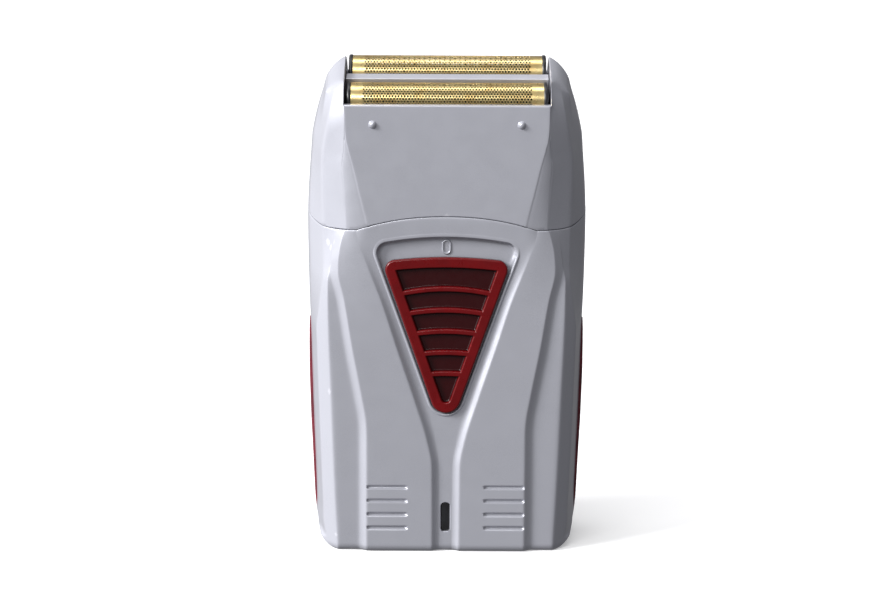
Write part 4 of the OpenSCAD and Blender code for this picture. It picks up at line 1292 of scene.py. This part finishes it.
BEVELS = {
    0.04: "cutter_blades_front cutter_blades_rear",
    0.05: "charge_contacts",
    0.06: "battery_tabs",
    0.1: "circuit_board led_chip motor_shaft",
    0.12: "motor_bracket motor_screws bracket_screws flexure_screws",
    0.15: "case_seal case_screws",
    0.2: "slider_carrier slide_switch_knob eccentric drive_bridge charge_inlet",
    0.25: "slide_switch_body cutter_carrier_front cutter_carrier_rear",
    0.3: "motor_end_cap",
    0.5: "battery_cell motor_can",
}
bevel_of = {name: width for width, names in BEVELS.items() for name in names.split()}
slot_of = {s["node"]: s["material_slot"] for s in frame["record"]["subparts"]}
for name, node in frame["nodes"].items():
    node.data.materials.clear()
    # The cutter blades take the dark steel that paints the shade behind the foil's holes.
    slot = "dark_shade_blade_steel" if name.startswith("cutter_blades") else slot_of[name]
    node.data.materials.append(FINISHES[slot])
    if name in bevel_of:
        edge = node.modifiers.new("edges", "BEVEL")
        edge.width, edge.segments, edge.limit_method = bevel_of[name] * MM, 2, "ANGLE"
        edge.angle_limit, edge.use_clamp_overlap, edge.harden_normals = math.radians(35), True, False


# ---- Stage, light and camera ----

def make_stage():
    x = np.linspace(-30000, 30000, 31)
    m = Finish("stage_floor")
    m.set(Specular_IOR_Level=0.1, Emission_Color=(1, 1, 1, 1), Emission_Strength=0.3)
    m.colour(m.mix(m.clouds(120, 2), (0.86, 0.86, 0.86), (0.88, 0.88, 0.88)))
    m.roughness(m.clouds(60, 2, 0.7, 0.8))
    floor = piece("floor", Shape().grid(stack(x, x[:, None], 0.0)), None, "stage_floor", recalc=False)
    floor.visible_diffuse = floor.visible_glossy = False


BRIGHT_SIDE = (-0.95, 0.1, 0.25)
KEY_FROM = (-0.78, -0.40, 0.48)
LIGHT_AIM = (0, 0, 0.1)
CAMERA_PLACE, CAMERA_AIM, CAMERA_ROLL = (0, -0.4735, 0.1313), (0, 0, 0.0563), 0.28


def look(place, aim):
    """Rotation of a light or camera at place that looks at aim."""
    return (Vector(aim) - Vector(place)).to_track_quat("-Z", "Y").to_euler()


def area_light(name, place, aim, size, power):
    data = bpy.data.lights.new(name, "AREA")
    data.shape, data.size, data.size_y = "RECTANGLE", size[0], size[1]
    data.energy = power
    made = linked(name, data)
    made.location = place
    made.rotation_euler = look(place, aim)


def sun_light(name, towards, strength, width):
    data = bpy.data.lights.new(name, "SUN")
    data.energy, data.angle = strength, math.radians(width)
    made = linked(name, data)
    made.rotation_euler = look(towards, (0, 0, 0))


def make_world():
    """White where the camera sees it; around the part, brighter on the left than on the right."""
    world = bpy.data.worlds.new("studio")
    bpy.context.scene.world = world
    world.use_nodes = True
    tree = world.node_tree
    tree.nodes.clear()
    link = tree.links.new
    kinds = ("OutputWorld", "LightPath", "Background", "Background", "MixShader", "TexCoord",
             "VectorMath", "Math", "ValToRGB")
    out, path, seen, unseen, pick, place, lean, half, ramp = [
        tree.nodes.new("ShaderNode" + kind) for kind in kinds]
    lean.operation = "DOT_PRODUCT"
    lean.inputs[1].default_value = Vector(BRIGHT_SIDE).normalized() / 2
    half.inputs[1].default_value = 0.5
    seen.inputs["Color"].default_value = (1, 1, 1, 1)
    stops = ramp.color_ramp.elements
    stops[0].position, stops[0].color = 0.0, (0.18, 0.18, 0.19, 1)
    stops[1].position, stops[1].color = 1.0, (1.45, 1.45, 1.47, 1)
    for position, level in ((0.25, 0.19), (0.45, 0.23), (0.6, 0.3), (0.78, 0.6), (0.9, 1.1)):
        stop = stops.new(position)
        stop.color = (level, level, level * 1.04, 1)
    link(place.outputs["Generated"], lean.inputs[0])
    link(lean.outputs["Value"], half.inputs[0])
    link(half.outputs[0], ramp.inputs["Fac"])
    link(ramp.outputs["Color"], unseen.inputs["Color"])
    link(path.outputs["Is Camera Ray"], pick.inputs["Fac"])
    link(unseen.outputs[0], pick.inputs[1])
    link(seen.outputs[0], pick.inputs[2])
    link(pick.outputs[0], out.inputs["Surface"])


make_stage()
make_world()
sun_light("key", KEY_FROM, 4.3, 20)
area_light("top_box", (0, -0.04, 0.85), LIGHT_AIM, (0.7, 0.26), 2.2)
area_light("front_box", (-0.33, -0.78, 0.56), LIGHT_AIM, (0.62, 0.14), 4.2)

camera = bpy.data.cameras.new("camera")
camera.lens, camera.sensor_width, camera.shift_x = 85, 36, -0.0119
camera.clip_start, camera.clip_end = 0.01, 20
eye = linked("camera", camera)
eye.location = CAMERA_PLACE
eye.rotation_euler = look(CAMERA_PLACE, CAMERA_AIM)
eye.rotation_euler.rotate_axis("Z", math.radians(CAMERA_ROLL))
bpy.context.scene.camera = eye
bpy.context.scene.view_settings.view_transform = "Standard"
